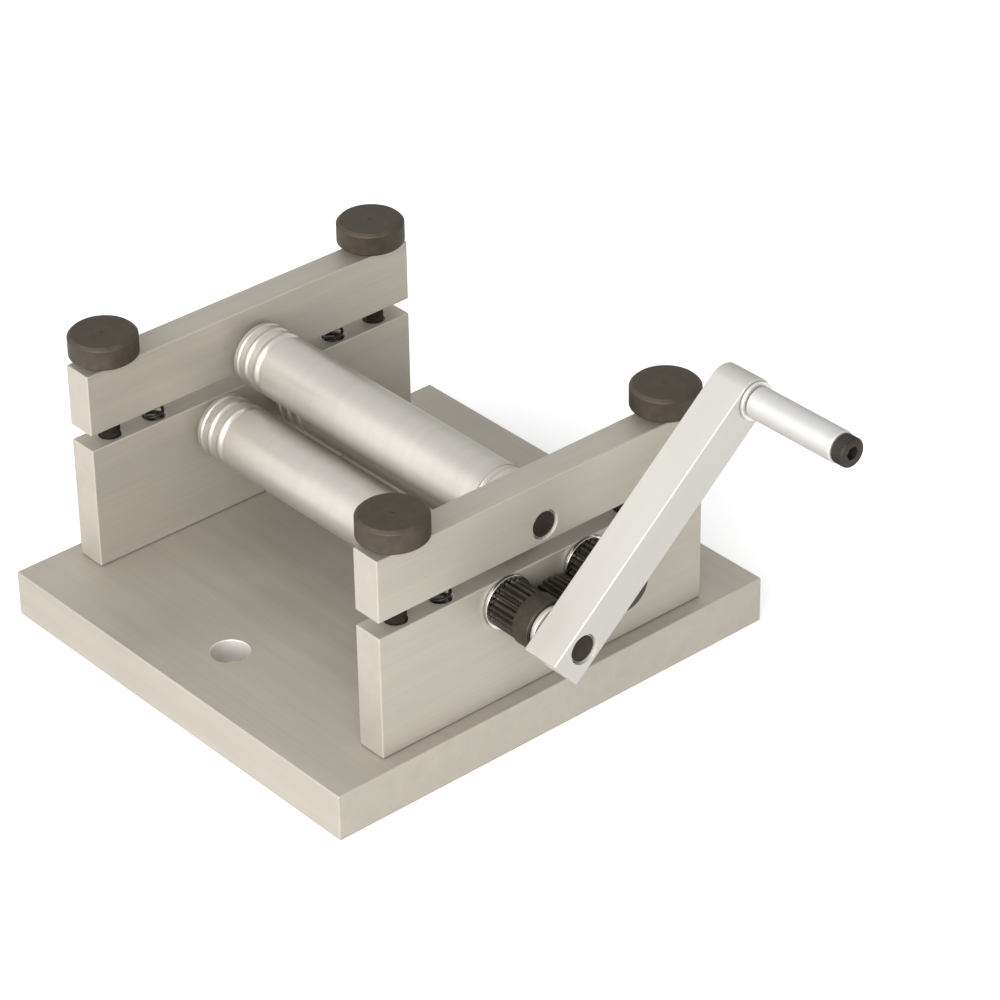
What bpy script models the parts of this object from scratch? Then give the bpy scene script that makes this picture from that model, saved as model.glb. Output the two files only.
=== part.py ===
"""A mini slip roll: three steel rolls in an aluminium frame, with a geared hand crank.

X runs along the rolls towards the crank, Y to the back and Z up, in metres.
The origin is the centre of the base plate's underside.
"""
import math

import bmesh
import bpy
from mathutils import Matrix, Vector

# Base plate
BASE_WIDTH = 0.1905
BASE_DEPTH = 0.2032
BASE_THICKNESS = 0.01905
BENCH_HOLE_INSET = 0.027
BENCH_HOLE_DIAMETER = 0.0087
BENCH_COUNTERBORE_DIAMETER = 0.0143
BENCH_COUNTERBORE_DEPTH = 0.0095
EDGE_CHAMFER = 0.0005

# Side plates and upper bars
PLATE_THICKNESS = 0.0127
PLATE_LENGTH = 0.1524
PLATE_MARGIN = 0.00635
LOWER_PLATE_HEIGHT = 0.0508
BAR_HEIGHT = 0.0254
FRAME_TRAVEL_DOWN = 0.006

# Rolls
ROLL_DIAMETER = 0.0254
ROLL_END_SPACE = 0.004
ROLL_EDGE_CHAMFER = 0.0005
JOURNAL_DIAMETER = 0.0111
JOURNAL_RECESS = 0.0016
JOURNAL_CHAMFER = 0.0005
SHOULDER_DIAMETER = 0.0159
LOWER_ROLL_GAP = 0.012
UPPER_ROLL_GAP = 0.00467
LOWER_AXIS_DROP = 0.0098
UPPER_AXIS_RISE = 0.0074
FIRST_GROOVE_LAND = 0.0015
GROOVE_LAND = 0.0023
GROOVE_WIDTHS = (0.002, 0.0032, 0.0044)
GROOVE_STEPS = 3

# Thumbscrews
SCREW_INSET = 0.0127
THREAD_DIAMETER = 0.00794
THREAD_PITCH = 0.001411
STUD_ENGAGEMENT = 0.015
THREAD_DEPTH_SHARE = 0.61
BAR_HOLE_CLEARANCE = 0.0004
KNOB_DIAMETER = 0.0264
KNOB_HEIGHT = 0.0096
KNOB_TOP_CHAMFER = 0.001
KNOB_FOOT_CHAMFER = 0.0008
KNOB_NECK_DIAMETER = 0.016
KNOB_NECK_HEIGHT = 0.0021
KNOB_SOCKET_DEPTH = 0.0065
KNOB_DIMPLE_DIAMETER = 0.0026
KNOB_DIMPLE_DEPTH = 0.0008

# Lift springs
SPRING_PLACE_SHARE = 0.549
SPRING_DIAMETER = 0.0083
SPRING_WIRE = 0.0013
SPRING_TURNS = 7
SPRING_POINTS_PER_TURN = 8
SPRING_POCKET_DEPTH = 0.009

# Gear train
GEAR_MODULE = 0.00079375
PINION_TEETH = 22
IDLER_LEAST_DROP = 0.01
PRESSURE_ANGLE = math.radians(20)
BACKLASH = 0.00016
ADDENDUM_SHARE = 1.0
DEDENDUM_SHARE = 1.25
GEAR_FACE = 0.0119
GEAR_GROOVE = 0.0007
HUB_LENGTH = 0.0079
HUB_DIAMETER = 0.0204
THRUST_WASHER_DIAMETER = 0.021
THRUST_WASHER_THICKNESS = 0.0014
IDLER_WASHER_DIAMETER = 0.014
IDLER_SHOULDER_DIAMETER = 0.008
IDLER_THREAD_DIAMETER = 0.006
IDLER_THREAD_LENGTH = 0.0105
IDLER_HEAD_DIAMETER = 0.012
IDLER_HEAD_HEIGHT = 0.0035
IDLER_SOCKET_WIDTH = 0.004
IDLER_SOCKET_DEPTH = 0.002

# Crank
ARM_WIDTH = 0.015875
ARM_THICKNESS = 0.015875
ARM_FOOT = 0.0113
ARM_CENTRES = 0.1048
ARM_ANGLE = math.radians(40.5)
ARM_CHAMFER = 0.0008
ARM_SHAFT_RECESS = 0.0028
CRANK_SPACER_DIAMETER = 0.0176
CRANK_SPACER_LENGTH = 0.002
HANDLE_DIAMETER = 0.0122
HANDLE_LENGTH = 0.0404
HANDLE_CHAMFER = 0.0006
HANDLE_WASHER_DIAMETER = 0.0146
HANDLE_WASHER_THICKNESS = 0.0012
HANDLE_SCREW_DIAMETER = 0.00635
HANDLE_SCREW_REACH = 0.0118
HANDLE_HEAD_DIAMETER = 0.0112
HANDLE_HEAD_HEIGHT = 0.005
HANDLE_SOCKET_WIDTH = 0.00476
HANDLE_SOCKET_DEPTH = 0.0028
HEAD_CHAMFER = 0.0004
SCREW_TIP_CHAMFER = 0.0008

# Set screws and the screws that hold the side plates to the base
SET_SCREW_DIAMETER = 0.004
SET_SCREW_SUNK = 0.0006
SET_SCREW_SOCKET_WIDTH = 0.002
SET_SCREW_SOCKET_DEPTH = 0.0014
SET_SCREW_ANGLE = math.radians(-60)
PLATE_SCREW_INSET = 0.0254
PLATE_SCREW_DIAMETER = 0.00635
PLATE_SCREW_GRIP = 0.0155
PLATE_SCREW_HEAD_DIAMETER = 0.0095
PLATE_SCREW_HEAD_HEIGHT = 0.0063
PLATE_SCREW_HEAD_CLEARANCE = 0.0008
PLATE_SCREW_SUNK = 0.0007
PLATE_SCREW_SOCKET_WIDTH = 0.00476
PLATE_SCREW_SOCKET_DEPTH = 0.003

# Fits and mesh fineness
CLEARANCE = 0.0003
DRILL_TIP = 0.002
OVERRUN = 0.002
MERGE_DISTANCE = 0.0000001
ROLL_SIDES = 28
ROUND_SIDES = 24
SCREW_SIDES = 16
SMALL_SIDES = 10
ROUND_END_STEPS = 10
SMOOTH_ANGLE = math.radians(35)

# Places worked out from the sizes above
PLATE_OUTER_X = BASE_WIDTH / 2 - PLATE_MARGIN
PLATE_INNER_X = PLATE_OUTER_X - PLATE_THICKNESS
PLATE_MIDDLE_X = PLATE_OUTER_X - PLATE_THICKNESS / 2
LOWER_PLATE_TOP = BASE_THICKNESS + LOWER_PLATE_HEIGHT
LOWER_AXIS_Z = LOWER_PLATE_TOP - LOWER_AXIS_DROP
REAR_AXIS_Y = (ROLL_DIAMETER + LOWER_ROLL_GAP) / 2
FRONT_AXIS_Y = -REAR_AXIS_Y
UPPER_AXIS_Z = LOWER_AXIS_Z + math.sqrt((ROLL_DIAMETER + UPPER_ROLL_GAP) ** 2 - REAR_AXIS_Y ** 2)
BAR_FOOT = UPPER_AXIS_Z - UPPER_AXIS_RISE
BAR_TOP = BAR_FOOT + BAR_HEIGHT
SCREW_Y = PLATE_LENGTH / 2 - SCREW_INSET
SPRING_Y = REAR_AXIS_Y + (SCREW_Y - REAR_AXIS_Y) * SPRING_PLACE_SHARE
PLATE_SCREW_Y = PLATE_LENGTH / 2 - PLATE_SCREW_INSET
STUD_CHAMFER = THREAD_PITCH * THREAD_DEPTH_SHARE
BENCH_HOLE_Y = BASE_DEPTH / 2 - BENCH_HOLE_INSET
JOURNAL_RADIUS = JOURNAL_DIAMETER / 2
BORE_RADIUS = JOURNAL_RADIUS + CLEARANCE
PINION_PITCH_RADIUS = GEAR_MODULE * PINION_TEETH / 2
LEAST_MESH_DISTANCE = math.hypot(REAR_AXIS_Y, IDLER_LEAST_DROP)
IDLER_TEETH = math.ceil(LEAST_MESH_DISTANCE * 2 / GEAR_MODULE) - PINION_TEETH
MESH_DISTANCE = PINION_PITCH_RADIUS + GEAR_MODULE * IDLER_TEETH / 2
IDLER_DROP = math.sqrt(MESH_DISTANCE ** 2 - REAR_AXIS_Y ** 2)
IDLER_AXIS_Z = LOWER_AXIS_Z - IDLER_DROP
WASHER_X = PLATE_OUTER_X + CLEARANCE
GEAR_X = WASHER_X + THRUST_WASHER_THICKNESS + CLEARANCE
HUB_X = GEAR_X + GEAR_FACE + GEAR_GROOVE
HUB_END_X = HUB_X + HUB_LENGTH
SPACER_X = HUB_END_X + CLEARANCE
ARM_X = SPACER_X + CRANK_SPACER_LENGTH + CLEARANCE
ARM_OUTER_X = ARM_X + ARM_THICKNESS
HANDLE_WASHER_X = ARM_OUTER_X + CLEARANCE
HANDLE_X = HANDLE_WASHER_X + HANDLE_WASHER_THICKNESS + CLEARANCE
HANDLE_HEAD_X = HANDLE_X + HANDLE_LENGTH + CLEARANCE
HANDLE_AXIS_Y = FRONT_AXIS_Y + ARM_CENTRES * math.cos(ARM_ANGLE)
HANDLE_AXIS_Z = LOWER_AXIS_Z + ARM_CENTRES * math.sin(ARM_ANGLE)

SIDES = (("left", -1), ("right", 1))
ENDS = (("front", -1), ("rear", 1))


def material(name, colour, roughness, metallic):
    """One Principled material for one kind of finish."""
    made = bpy.data.materials.get(name)
    if made is None:
        made = bpy.data.materials.new(name)
        made.use_nodes = True
        made.diffuse_color = (*colour, 1.0)
        shader = made.node_tree.nodes["Principled BSDF"]
        shader.inputs["Base Color"].default_value = (*colour, 1.0)
        shader.inputs["Roughness"].default_value = roughness
        shader.inputs["Metallic"].default_value = metallic
    return made


def plate_aluminium():
    return material("satin_aluminium", (0.62, 0.59, 0.53), 0.42, 0.9)


def crank_aluminium():
    return material("bright_aluminium", (0.83, 0.81, 0.78), 0.35, 0.9)


def roll_steel():
    return material("ground_steel", (0.72, 0.71, 0.68), 0.22, 1.0)


def black_steel():
    return material("black_oxide_steel", (0.055, 0.045, 0.038), 0.42, 0.7)


def gear_steel():
    return material("dark_gear_steel", (0.09, 0.075, 0.062), 0.4, 0.8)


def spring_steel():
    return material("spring_wire", (0.03, 0.028, 0.026), 0.35, 0.8)


def washer_steel():
    return material("bright_washer_steel", (0.75, 0.74, 0.72), 0.25, 1.0)


def clean(mesh_builder):
    """Merge the points that share a place and turn every face outwards."""
    bmesh.ops.remove_doubles(mesh_builder, verts=mesh_builder.verts, dist=MERGE_DISTANCE)
    bmesh.ops.recalc_face_normals(mesh_builder, faces=mesh_builder.faces)


def finish_mesh(name, mesh_builder):
    """Turn the built shape into a mesh whose round faces are shaded smooth."""
    mesh = bpy.data.meshes.new(name)
    mesh_builder.to_mesh(mesh)
    mesh_builder.free()
    mesh.shade_smooth()
    mesh.set_sharp_from_angle(angle=SMOOTH_ANGLE)
    return mesh


def turned(profile, sides, closed=False, place=None):
    """Turn a profile of (along, radius) points round X; closed joins its last point to its first."""
    shape = bmesh.new()
    points = [shape.verts.new((along, radius, 0)) for along, radius in profile]
    edges = [shape.edges.new(pair) for pair in zip(points, points[1:])]
    if closed:
        edges.append(shape.edges.new((points[-1], points[0])))
    bmesh.ops.spin(
        shape, geom=points + edges, cent=(0, 0, 0), axis=(1, 0, 0),
        angle=2 * math.pi, steps=sides, use_merge=True,
    )
    clean(shape)
    if place is not None:
        bmesh.ops.transform(shape, matrix=place, verts=shape.verts)
    return shape


def gather(shapes):
    """Put several separate shapes into one, for a cutter that makes all of a piece's holes."""
    together = bmesh.new()
    for shape in shapes:
        carrier = bpy.data.meshes.new("carrier")
        shape.to_mesh(carrier)
        shape.free()
        together.from_mesh(carrier)
        bpy.data.meshes.remove(carrier)
    return together


def extruded(outline, start, length, place=None):
    """Extrude an outline of (y, z) points along X from start."""
    shape = bmesh.new()
    face = shape.faces.new([shape.verts.new((start, y, z)) for y, z in outline])
    grown = bmesh.ops.extrude_face_region(shape, geom=[face])
    moved = [item for item in grown["geom"] if isinstance(item, bmesh.types.BMVert)]
    bmesh.ops.translate(shape, verts=moved, vec=(length, 0, 0))
    clean(shape)
    if place is not None:
        bmesh.ops.transform(shape, matrix=place, verts=shape.verts)
    return shape


def block(low, high):
    """A box between two corners."""
    shape = bmesh.new()
    bmesh.ops.create_cube(shape, size=1.0)
    low = Vector(low)
    high = Vector(high)
    bmesh.ops.scale(shape, vec=high - low, verts=shape.verts)
    bmesh.ops.translate(shape, vec=(low + high) / 2, verts=shape.verts)
    return shape


def pointing(direction, at=(0, 0, 0)):
    """The placing that turns the X axis of a turned shape to a direction."""
    turn = Vector((1, 0, 0)).rotation_difference(Vector(direction))
    return Matrix.Translation(at) @ turn.to_matrix().to_4x4()


def hole(steps, sides, place):
    """A stepped hole: each step is (from, to, radius) along the hole."""
    profile = [(steps[0][0], 0)]
    for start, stop, radius in steps:
        profile += [(start, radius), (stop, radius)]
    profile.append((steps[-1][1], 0))
    return turned(profile, sides, place=place)


def hexagon(width):
    """The corners of a hexagon by its width across flats."""
    radius = width / 2 / math.cos(math.pi / 6)
    return [
        (radius * math.cos(corner * math.pi / 3), radius * math.sin(corner * math.pi / 3))
        for corner in range(6)
    ]


def add_piece(name, shape, finish, parent=None, location=(0, 0, 0), rotation=(0, 0, 0)):
    """Add a named piece; its location is the point that its shape was drawn from."""
    piece = bpy.data.objects.new(name, finish_mesh(name, shape))
    piece.data.materials.append(finish)
    bpy.context.scene.collection.objects.link(piece)
    if parent is not None:
        piece.parent = parent
        location = Vector(location) - world_place(parent)
    piece.location = location
    piece.rotation_euler = rotation
    return piece


def world_place(thing):
    """Where an axis stands in the world, following its parents."""
    place = Vector(thing.location)
    while thing.parent is not None:
        thing = thing.parent
        place += thing.location
    return place


def add_axis(name, location, parent=None):
    """An empty on a joint's axis, which carries the pieces that move with it."""
    axis = bpy.data.objects.new(name, None)
    axis.empty_display_size = JOURNAL_DIAMETER
    bpy.context.scene.collection.objects.link(axis)
    if parent is not None:
        axis.parent = parent
        location = Vector(location) - world_place(parent)
    axis.location = location
    return axis


def chamfer(piece, width):
    """Break a piece's straight edges."""
    bevel = piece.modifiers.new("broken_edges", "BEVEL")
    bevel.width = width
    bevel.segments = 1
    bevel.limit_method = "ANGLE"
    bevel.angle_limit = math.radians(60)


def cut(piece, shapes):
    """Cut a piece's holes with one hidden cutter that stands where the piece stands."""
    cutter = bpy.data.objects.new("cutter_" + piece.name, finish_mesh("cutter", gather(shapes)))
    bpy.context.scene.collection.objects.link(cutter)
    cutter.parent = piece.parent
    cutter.location = piece.location
    cutter.rotation_euler = piece.rotation_euler
    cutter.hide_render = True
    cutter.display_type = "WIRE"
    boolean = piece.modifiers.new("holes", "BOOLEAN")
    boolean.operation = "DIFFERENCE"
    boolean.solver = "EXACT"
    boolean.object = cutter


def join_to(piece, shape):
    """Fuse a second shape to a piece, for a piece that is machined from one bar."""
    other = bpy.data.objects.new("form_" + piece.name, finish_mesh("form", shape))
    bpy.context.scene.collection.objects.link(other)
    other.parent = piece.parent
    other.location = piece.location
    other.rotation_euler = piece.rotation_euler
    other.hide_render = True
    other.display_type = "WIRE"
    boolean = piece.modifiers.new("one_bar", "BOOLEAN")
    boolean.operation = "UNION"
    boolean.solver = "EXACT"
    boolean.object = other


def socket_screw_profile(head_radius, head_height, shank_radius, reach, tip_chamfer):
    """A cap screw's profile, its seat at zero, the head on the far side and the shank before it."""
    return [
        (-reach, 0),
        (-reach, shank_radius - tip_chamfer),
        (-reach + tip_chamfer, shank_radius),
        (0, shank_radius),
        (0, head_radius),
        (head_height - HEAD_CHAMFER, head_radius),
        (head_height, head_radius - HEAD_CHAMFER),
        (head_height, 0),
    ]


def base_plate():
    """The thick base with two counterbored bench holes and the side plates' screw holes."""
    shape = block(
        (-BASE_WIDTH / 2, -BASE_DEPTH / 2, 0),
        (BASE_WIDTH / 2, BASE_DEPTH / 2, BASE_THICKNESS),
    )
    piece = add_piece("base_plate", shape, plate_aluminium())
    chamfer(piece, EDGE_CHAMFER)
    up = (0, 0, 1)
    holes = []
    for _, end in ENDS:
        steps = (
            (-OVERRUN, BASE_THICKNESS - BENCH_COUNTERBORE_DEPTH, BENCH_HOLE_DIAMETER / 2),
            (
                BASE_THICKNESS - BENCH_COUNTERBORE_DEPTH,
                BASE_THICKNESS + OVERRUN,
                BENCH_COUNTERBORE_DIAMETER / 2,
            ),
        )
        holes.append(hole(steps, ROUND_SIDES, pointing(up, (0, end * BENCH_HOLE_Y, 0))))
        for _, side in SIDES:
            seat = PLATE_SCREW_SUNK + PLATE_SCREW_HEAD_HEIGHT + CLEARANCE
            steps = (
                (-OVERRUN, seat, PLATE_SCREW_HEAD_DIAMETER / 2 + PLATE_SCREW_HEAD_CLEARANCE),
                (seat, BASE_THICKNESS + OVERRUN, PLATE_SCREW_DIAMETER / 2 + CLEARANCE),
            )
            place = pointing(up, (side * PLATE_MIDDLE_X, end * PLATE_SCREW_Y, 0))
            holes.append(hole(steps, SCREW_SIDES, place))
    cut(piece, holes)


def plate_screws():
    """Four cap screws that come up through the base into the side plates."""
    for side_name, side in SIDES:
        for end_name, end in ENDS:
            profile = socket_screw_profile(
                PLATE_SCREW_HEAD_DIAMETER / 2, PLATE_SCREW_HEAD_HEIGHT, PLATE_SCREW_DIAMETER / 2,
                BASE_THICKNESS - PLATE_SCREW_SUNK - PLATE_SCREW_HEAD_HEIGHT + PLATE_SCREW_GRIP,
                SCREW_TIP_CHAMFER,
            )
            down = pointing((0, 0, -1))
            piece = add_piece(
                f"side_plate_screw_{side_name}_{end_name}",
                turned(profile, SCREW_SIDES, place=down),
                black_steel(),
                location=(
                    side * PLATE_MIDDLE_X,
                    end * PLATE_SCREW_Y,
                    PLATE_SCREW_SUNK + PLATE_SCREW_HEAD_HEIGHT,
                ),
            )
            start = PLATE_SCREW_HEAD_HEIGHT - PLATE_SCREW_SOCKET_DEPTH
            cut(piece, [extruded(
                hexagon(PLATE_SCREW_SOCKET_WIDTH), start, PLATE_SCREW_SOCKET_DEPTH + OVERRUN, down,
            )])


def lower_side_plates():
    """The two plates that stand on the base and carry the lower rolls."""
    up = (0, 0, 1)
    for side_name, side in SIDES:
        shape = block(
            (side * PLATE_MIDDLE_X - PLATE_THICKNESS / 2, -PLATE_LENGTH / 2, BASE_THICKNESS + CLEARANCE),
            (side * PLATE_MIDDLE_X + PLATE_THICKNESS / 2, PLATE_LENGTH / 2, LOWER_PLATE_TOP),
        )
        piece = add_piece(f"lower_side_plate_{side_name}", shape, plate_aluminium())
        chamfer(piece, EDGE_CHAMFER)
        low = side * PLATE_MIDDLE_X - PLATE_THICKNESS / 2 - OVERRUN
        high = side * PLATE_MIDDLE_X + PLATE_THICKNESS / 2 + OVERRUN
        holes = []
        for _, end in ENDS:
            place = pointing((1, 0, 0), (0, end * REAR_AXIS_Y, LOWER_AXIS_Z))
            holes.append(hole([(low, high, BORE_RADIUS)], ROUND_SIDES, place))
            depth = STUD_ENGAGEMENT + FRAME_TRAVEL_DOWN + DRILL_TIP
            steps = [(LOWER_PLATE_TOP - depth, LOWER_PLATE_TOP + OVERRUN, THREAD_DIAMETER / 2 + CLEARANCE)]
            holes.append(hole(steps, SCREW_SIDES, pointing(up, (side * PLATE_MIDDLE_X, end * SCREW_Y, 0))))
            steps = [(
                LOWER_PLATE_TOP - SPRING_POCKET_DEPTH, LOWER_PLATE_TOP + OVERRUN,
                SPRING_DIAMETER / 2 + CLEARANCE,
            )]
            holes.append(hole(steps, SCREW_SIDES, pointing(up, (side * PLATE_MIDDLE_X, end * SPRING_Y, 0))))
            steps = [(
                BASE_THICKNESS - OVERRUN, BASE_THICKNESS + PLATE_SCREW_GRIP + DRILL_TIP,
                PLATE_SCREW_DIAMETER / 2 + CLEARANCE,
            )]
            place = pointing(up, (side * PLATE_MIDDLE_X, end * PLATE_SCREW_Y, 0))
            holes.append(hole(steps, SCREW_SIDES, place))
        if side > 0:
            steps = [(
                PLATE_OUTER_X - IDLER_THREAD_LENGTH - CLEARANCE, PLATE_OUTER_X + OVERRUN,
                IDLER_THREAD_DIAMETER / 2 + CLEARANCE,
            )]
            holes.append(hole(steps, SMALL_SIDES, pointing((1, 0, 0), (0, 0, IDLER_AXIS_Z))))
        cut(piece, holes)


def upper_bars(frame):
    """The two bars that carry the upper roll and ride up and down on the thumbscrews."""
    up = (0, 0, 1)
    for side_name, side in SIDES:
        shape = block(
            (side * PLATE_MIDDLE_X - PLATE_THICKNESS / 2, -PLATE_LENGTH / 2, BAR_FOOT),
            (side * PLATE_MIDDLE_X + PLATE_THICKNESS / 2, PLATE_LENGTH / 2, BAR_TOP),
        )
        piece = add_piece(f"upper_bar_{side_name}", shape, plate_aluminium(), parent=frame)
        piece.location = -world_place(frame)
        chamfer(piece, EDGE_CHAMFER)
        low = side * PLATE_MIDDLE_X - PLATE_THICKNESS / 2 - OVERRUN
        high = side * PLATE_MIDDLE_X + PLATE_THICKNESS / 2 + OVERRUN
        holes = [hole([(low, high, BORE_RADIUS)], ROUND_SIDES, pointing((1, 0, 0), (0, 0, UPPER_AXIS_Z)))]
        for _, end in ENDS:
            steps = [(BAR_FOOT - OVERRUN, BAR_TOP + OVERRUN, THREAD_DIAMETER / 2 + BAR_HOLE_CLEARANCE)]
            holes.append(hole(steps, SCREW_SIDES, pointing(up, (side * PLATE_MIDDLE_X, end * SCREW_Y, 0))))
            steps = [(BAR_FOOT - OVERRUN, BAR_FOOT + SPRING_POCKET_DEPTH, SPRING_DIAMETER / 2 + CLEARANCE)]
            holes.append(hole(steps, SCREW_SIDES, pointing(up, (side * PLATE_MIDDLE_X, end * SPRING_Y, 0))))
        cut(piece, holes)


def thumbscrews(frame):
    """Four thumbscrews, each a turned knob on a threaded stud."""
    up = pointing((0, 0, 1))
    for side_name, side in SIDES:
        for end_name, end in ENDS:
            centre = (side * PLATE_MIDDLE_X, end * SCREW_Y, BAR_TOP)
            axis = add_axis(f"thumbscrew_axis_{side_name}_{end_name}", centre, frame)
            neck = CLEARANCE
            foot = neck + KNOB_NECK_HEIGHT
            top = foot + KNOB_HEIGHT
            radius = KNOB_DIAMETER / 2
            profile = [
                (neck + KNOB_SOCKET_DEPTH, 0),
                (neck + KNOB_SOCKET_DEPTH, THREAD_DIAMETER / 2 + CLEARANCE),
                (neck, THREAD_DIAMETER / 2 + CLEARANCE),
                (neck, KNOB_NECK_DIAMETER / 2),
                (foot, KNOB_NECK_DIAMETER / 2),
                (foot, radius - KNOB_FOOT_CHAMFER),
                (foot + KNOB_FOOT_CHAMFER, radius),
                (top - KNOB_TOP_CHAMFER, radius),
                (top, radius - KNOB_TOP_CHAMFER),
                (top, KNOB_DIMPLE_DIAMETER / 2),
                (top - KNOB_DIMPLE_DEPTH, 0),
            ]
            knob = turned(profile, ROUND_SIDES, place=up)
            add_piece(f"thumb_knob_{side_name}_{end_name}", knob, black_steel(), axis, centre)
            foot = LOWER_PLATE_TOP - STUD_ENGAGEMENT - BAR_TOP
            head = neck + KNOB_SOCKET_DEPTH - CLEARANCE
            profile = [
                (foot, 0),
                (foot, THREAD_DIAMETER / 2 - STUD_CHAMFER),
                (foot + STUD_CHAMFER, THREAD_DIAMETER / 2),
                (head, THREAD_DIAMETER / 2),
                (head, 0),
            ]
            stud = turned(profile, SCREW_SIDES, place=up)
            add_piece(f"thumb_stud_{side_name}_{end_name}", stud, gear_steel(), axis, centre)


def spring_points():
    """The wire's middle line: a helix whose two ends run straight for one wire diameter."""
    radius = (SPRING_DIAMETER - SPRING_WIRE) / 2
    low = LOWER_PLATE_TOP - SPRING_POCKET_DEPTH + CLEARANCE + SPRING_WIRE / 2
    high = BAR_FOOT + SPRING_POCKET_DEPTH - CLEARANCE - SPRING_WIRE / 2
    turn = 2 * math.pi * SPRING_TURNS
    wire_length = turn * radius + 2 * SPRING_WIRE
    slope = (high - low) / wire_length
    steps = SPRING_TURNS * SPRING_POINTS_PER_TURN
    start = Vector((radius, -SPRING_WIRE, low))
    points = [start]
    for step in range(steps + 1):
        angle = turn * step / steps
        height = low + slope * (SPRING_WIRE + angle * radius)
        points.append(Vector((radius * math.cos(angle), radius * math.sin(angle), height)))
    points.append(Vector((radius, SPRING_WIRE, high)))
    return points


def least_gap(points):
    """The least space between the spring's turns, from points one turn apart or more."""
    apart = SPRING_POINTS_PER_TURN // 2
    nearest = min(
        (points[other] - points[one]).length
        for one in range(len(points))
        for other in range(one + apart, len(points))
    )
    return nearest - SPRING_WIRE


def lift_springs():
    """Four coil springs that lift the upper bars off the lower plates."""
    points = spring_points()
    print(f"least gap of a lift spring to itself: {least_gap(points) * 1000:.2f} mm")
    for side_name, side in SIDES:
        for end_name, end in ENDS:
            name = f"lift_spring_{side_name}_{end_name}"
            wire = bpy.data.curves.new(name, "CURVE")
            wire.dimensions = "3D"
            wire.bevel_depth = SPRING_WIRE / 2
            wire.bevel_resolution = 1
            wire.use_fill_caps = True
            line = wire.splines.new("POLY")
            line.points.add(len(points) - 1)
            for point, place in zip(line.points, points):
                point.co = (*place, 1)
            wire.materials.append(spring_steel())
            spring = bpy.data.objects.new(name, wire)
            spring.location = (side * PLATE_MIDDLE_X, end * SPRING_Y, 0)
            bpy.context.scene.collection.objects.link(spring)


def groove_points(start, width, radius):
    """A round wire groove across a roll's surface."""
    points = []
    for step in range(GROOVE_STEPS + 1):
        angle = math.pi * step / GROOVE_STEPS
        along = start + width / 2 * (1 - math.cos(angle))
        points.append((along, radius - width / 2 * math.sin(angle)))
    return points


def roll_profile(left_end, right_end):
    """A roll turned from one bar: journals, shoulders, barrel and three wire grooves."""
    barrel = PLATE_INNER_X - ROLL_END_SPACE
    shoulder = PLATE_INNER_X - CLEARANCE
    radius = ROLL_DIAMETER / 2
    profile = [
        (left_end, 0),
        (left_end, JOURNAL_RADIUS - JOURNAL_CHAMFER),
        (left_end + JOURNAL_CHAMFER, JOURNAL_RADIUS),
        (-shoulder, JOURNAL_RADIUS),
        (-shoulder, SHOULDER_DIAMETER / 2),
        (-barrel, SHOULDER_DIAMETER / 2),
        (-barrel, radius - ROLL_EDGE_CHAMFER),
        (-barrel + ROLL_EDGE_CHAMFER, radius),
    ]
    start = -barrel + FIRST_GROOVE_LAND
    for width in GROOVE_WIDTHS:
        profile += groove_points(start, width, radius)
        start += width + GROOVE_LAND
    profile += [
        (barrel - ROLL_EDGE_CHAMFER, radius),
        (barrel, radius - ROLL_EDGE_CHAMFER),
        (barrel, SHOULDER_DIAMETER / 2),
        (shoulder, SHOULDER_DIAMETER / 2),
        (shoulder, JOURNAL_RADIUS),
        (right_end - JOURNAL_CHAMFER, JOURNAL_RADIUS),
        (right_end, JOURNAL_RADIUS - JOURNAL_CHAMFER),
        (right_end, 0),
    ]
    return profile


def involute(pressure_angle):
    return math.tan(pressure_angle) - pressure_angle


def gear_outline(teeth, middle_tooth_angle):
    """A spur gear's outline with one tooth centred on the given angle from +Y towards +Z."""
    pitch_radius = GEAR_MODULE * teeth / 2
    base_radius = pitch_radius * math.cos(PRESSURE_ANGLE)
    tip_radius = pitch_radius + GEAR_MODULE * ADDENDUM_SHARE
    root_radius = pitch_radius - GEAR_MODULE * DEDENDUM_SHARE
    half_pitch_tooth = (math.pi * GEAR_MODULE / 2 - BACKLASH) / 2 / pitch_radius
    flank = []
    for radius in (root_radius, pitch_radius, tip_radius):
        reach = max(radius, base_radius)
        half = half_pitch_tooth + involute(PRESSURE_ANGLE) - involute(math.acos(base_radius / reach))
        flank.append((radius, half))
    outline = []
    for tooth in range(teeth):
        centre = middle_tooth_angle + 2 * math.pi * tooth / teeth
        for radius, half in flank:
            outline.append((radius * math.cos(centre - half), radius * math.sin(centre - half)))
        for radius, half in reversed(flank):
            outline.append((radius * math.cos(centre + half), radius * math.sin(centre + half)))
    return outline


def pinion_tooth_angle(pinion_y):
    """The pinion's tooth place that meshes with the idler, whose first tooth points straight up."""
    mesh_line = math.atan2(IDLER_DROP, pinion_y)
    idler_pitch_angle = 2 * math.pi / IDLER_TEETH
    beyond = (math.pi / 2 - mesh_line) % idler_pitch_angle
    space = mesh_line + math.pi - beyond * IDLER_TEETH / PINION_TEETH
    return space + math.pi / PINION_TEETH


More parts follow.
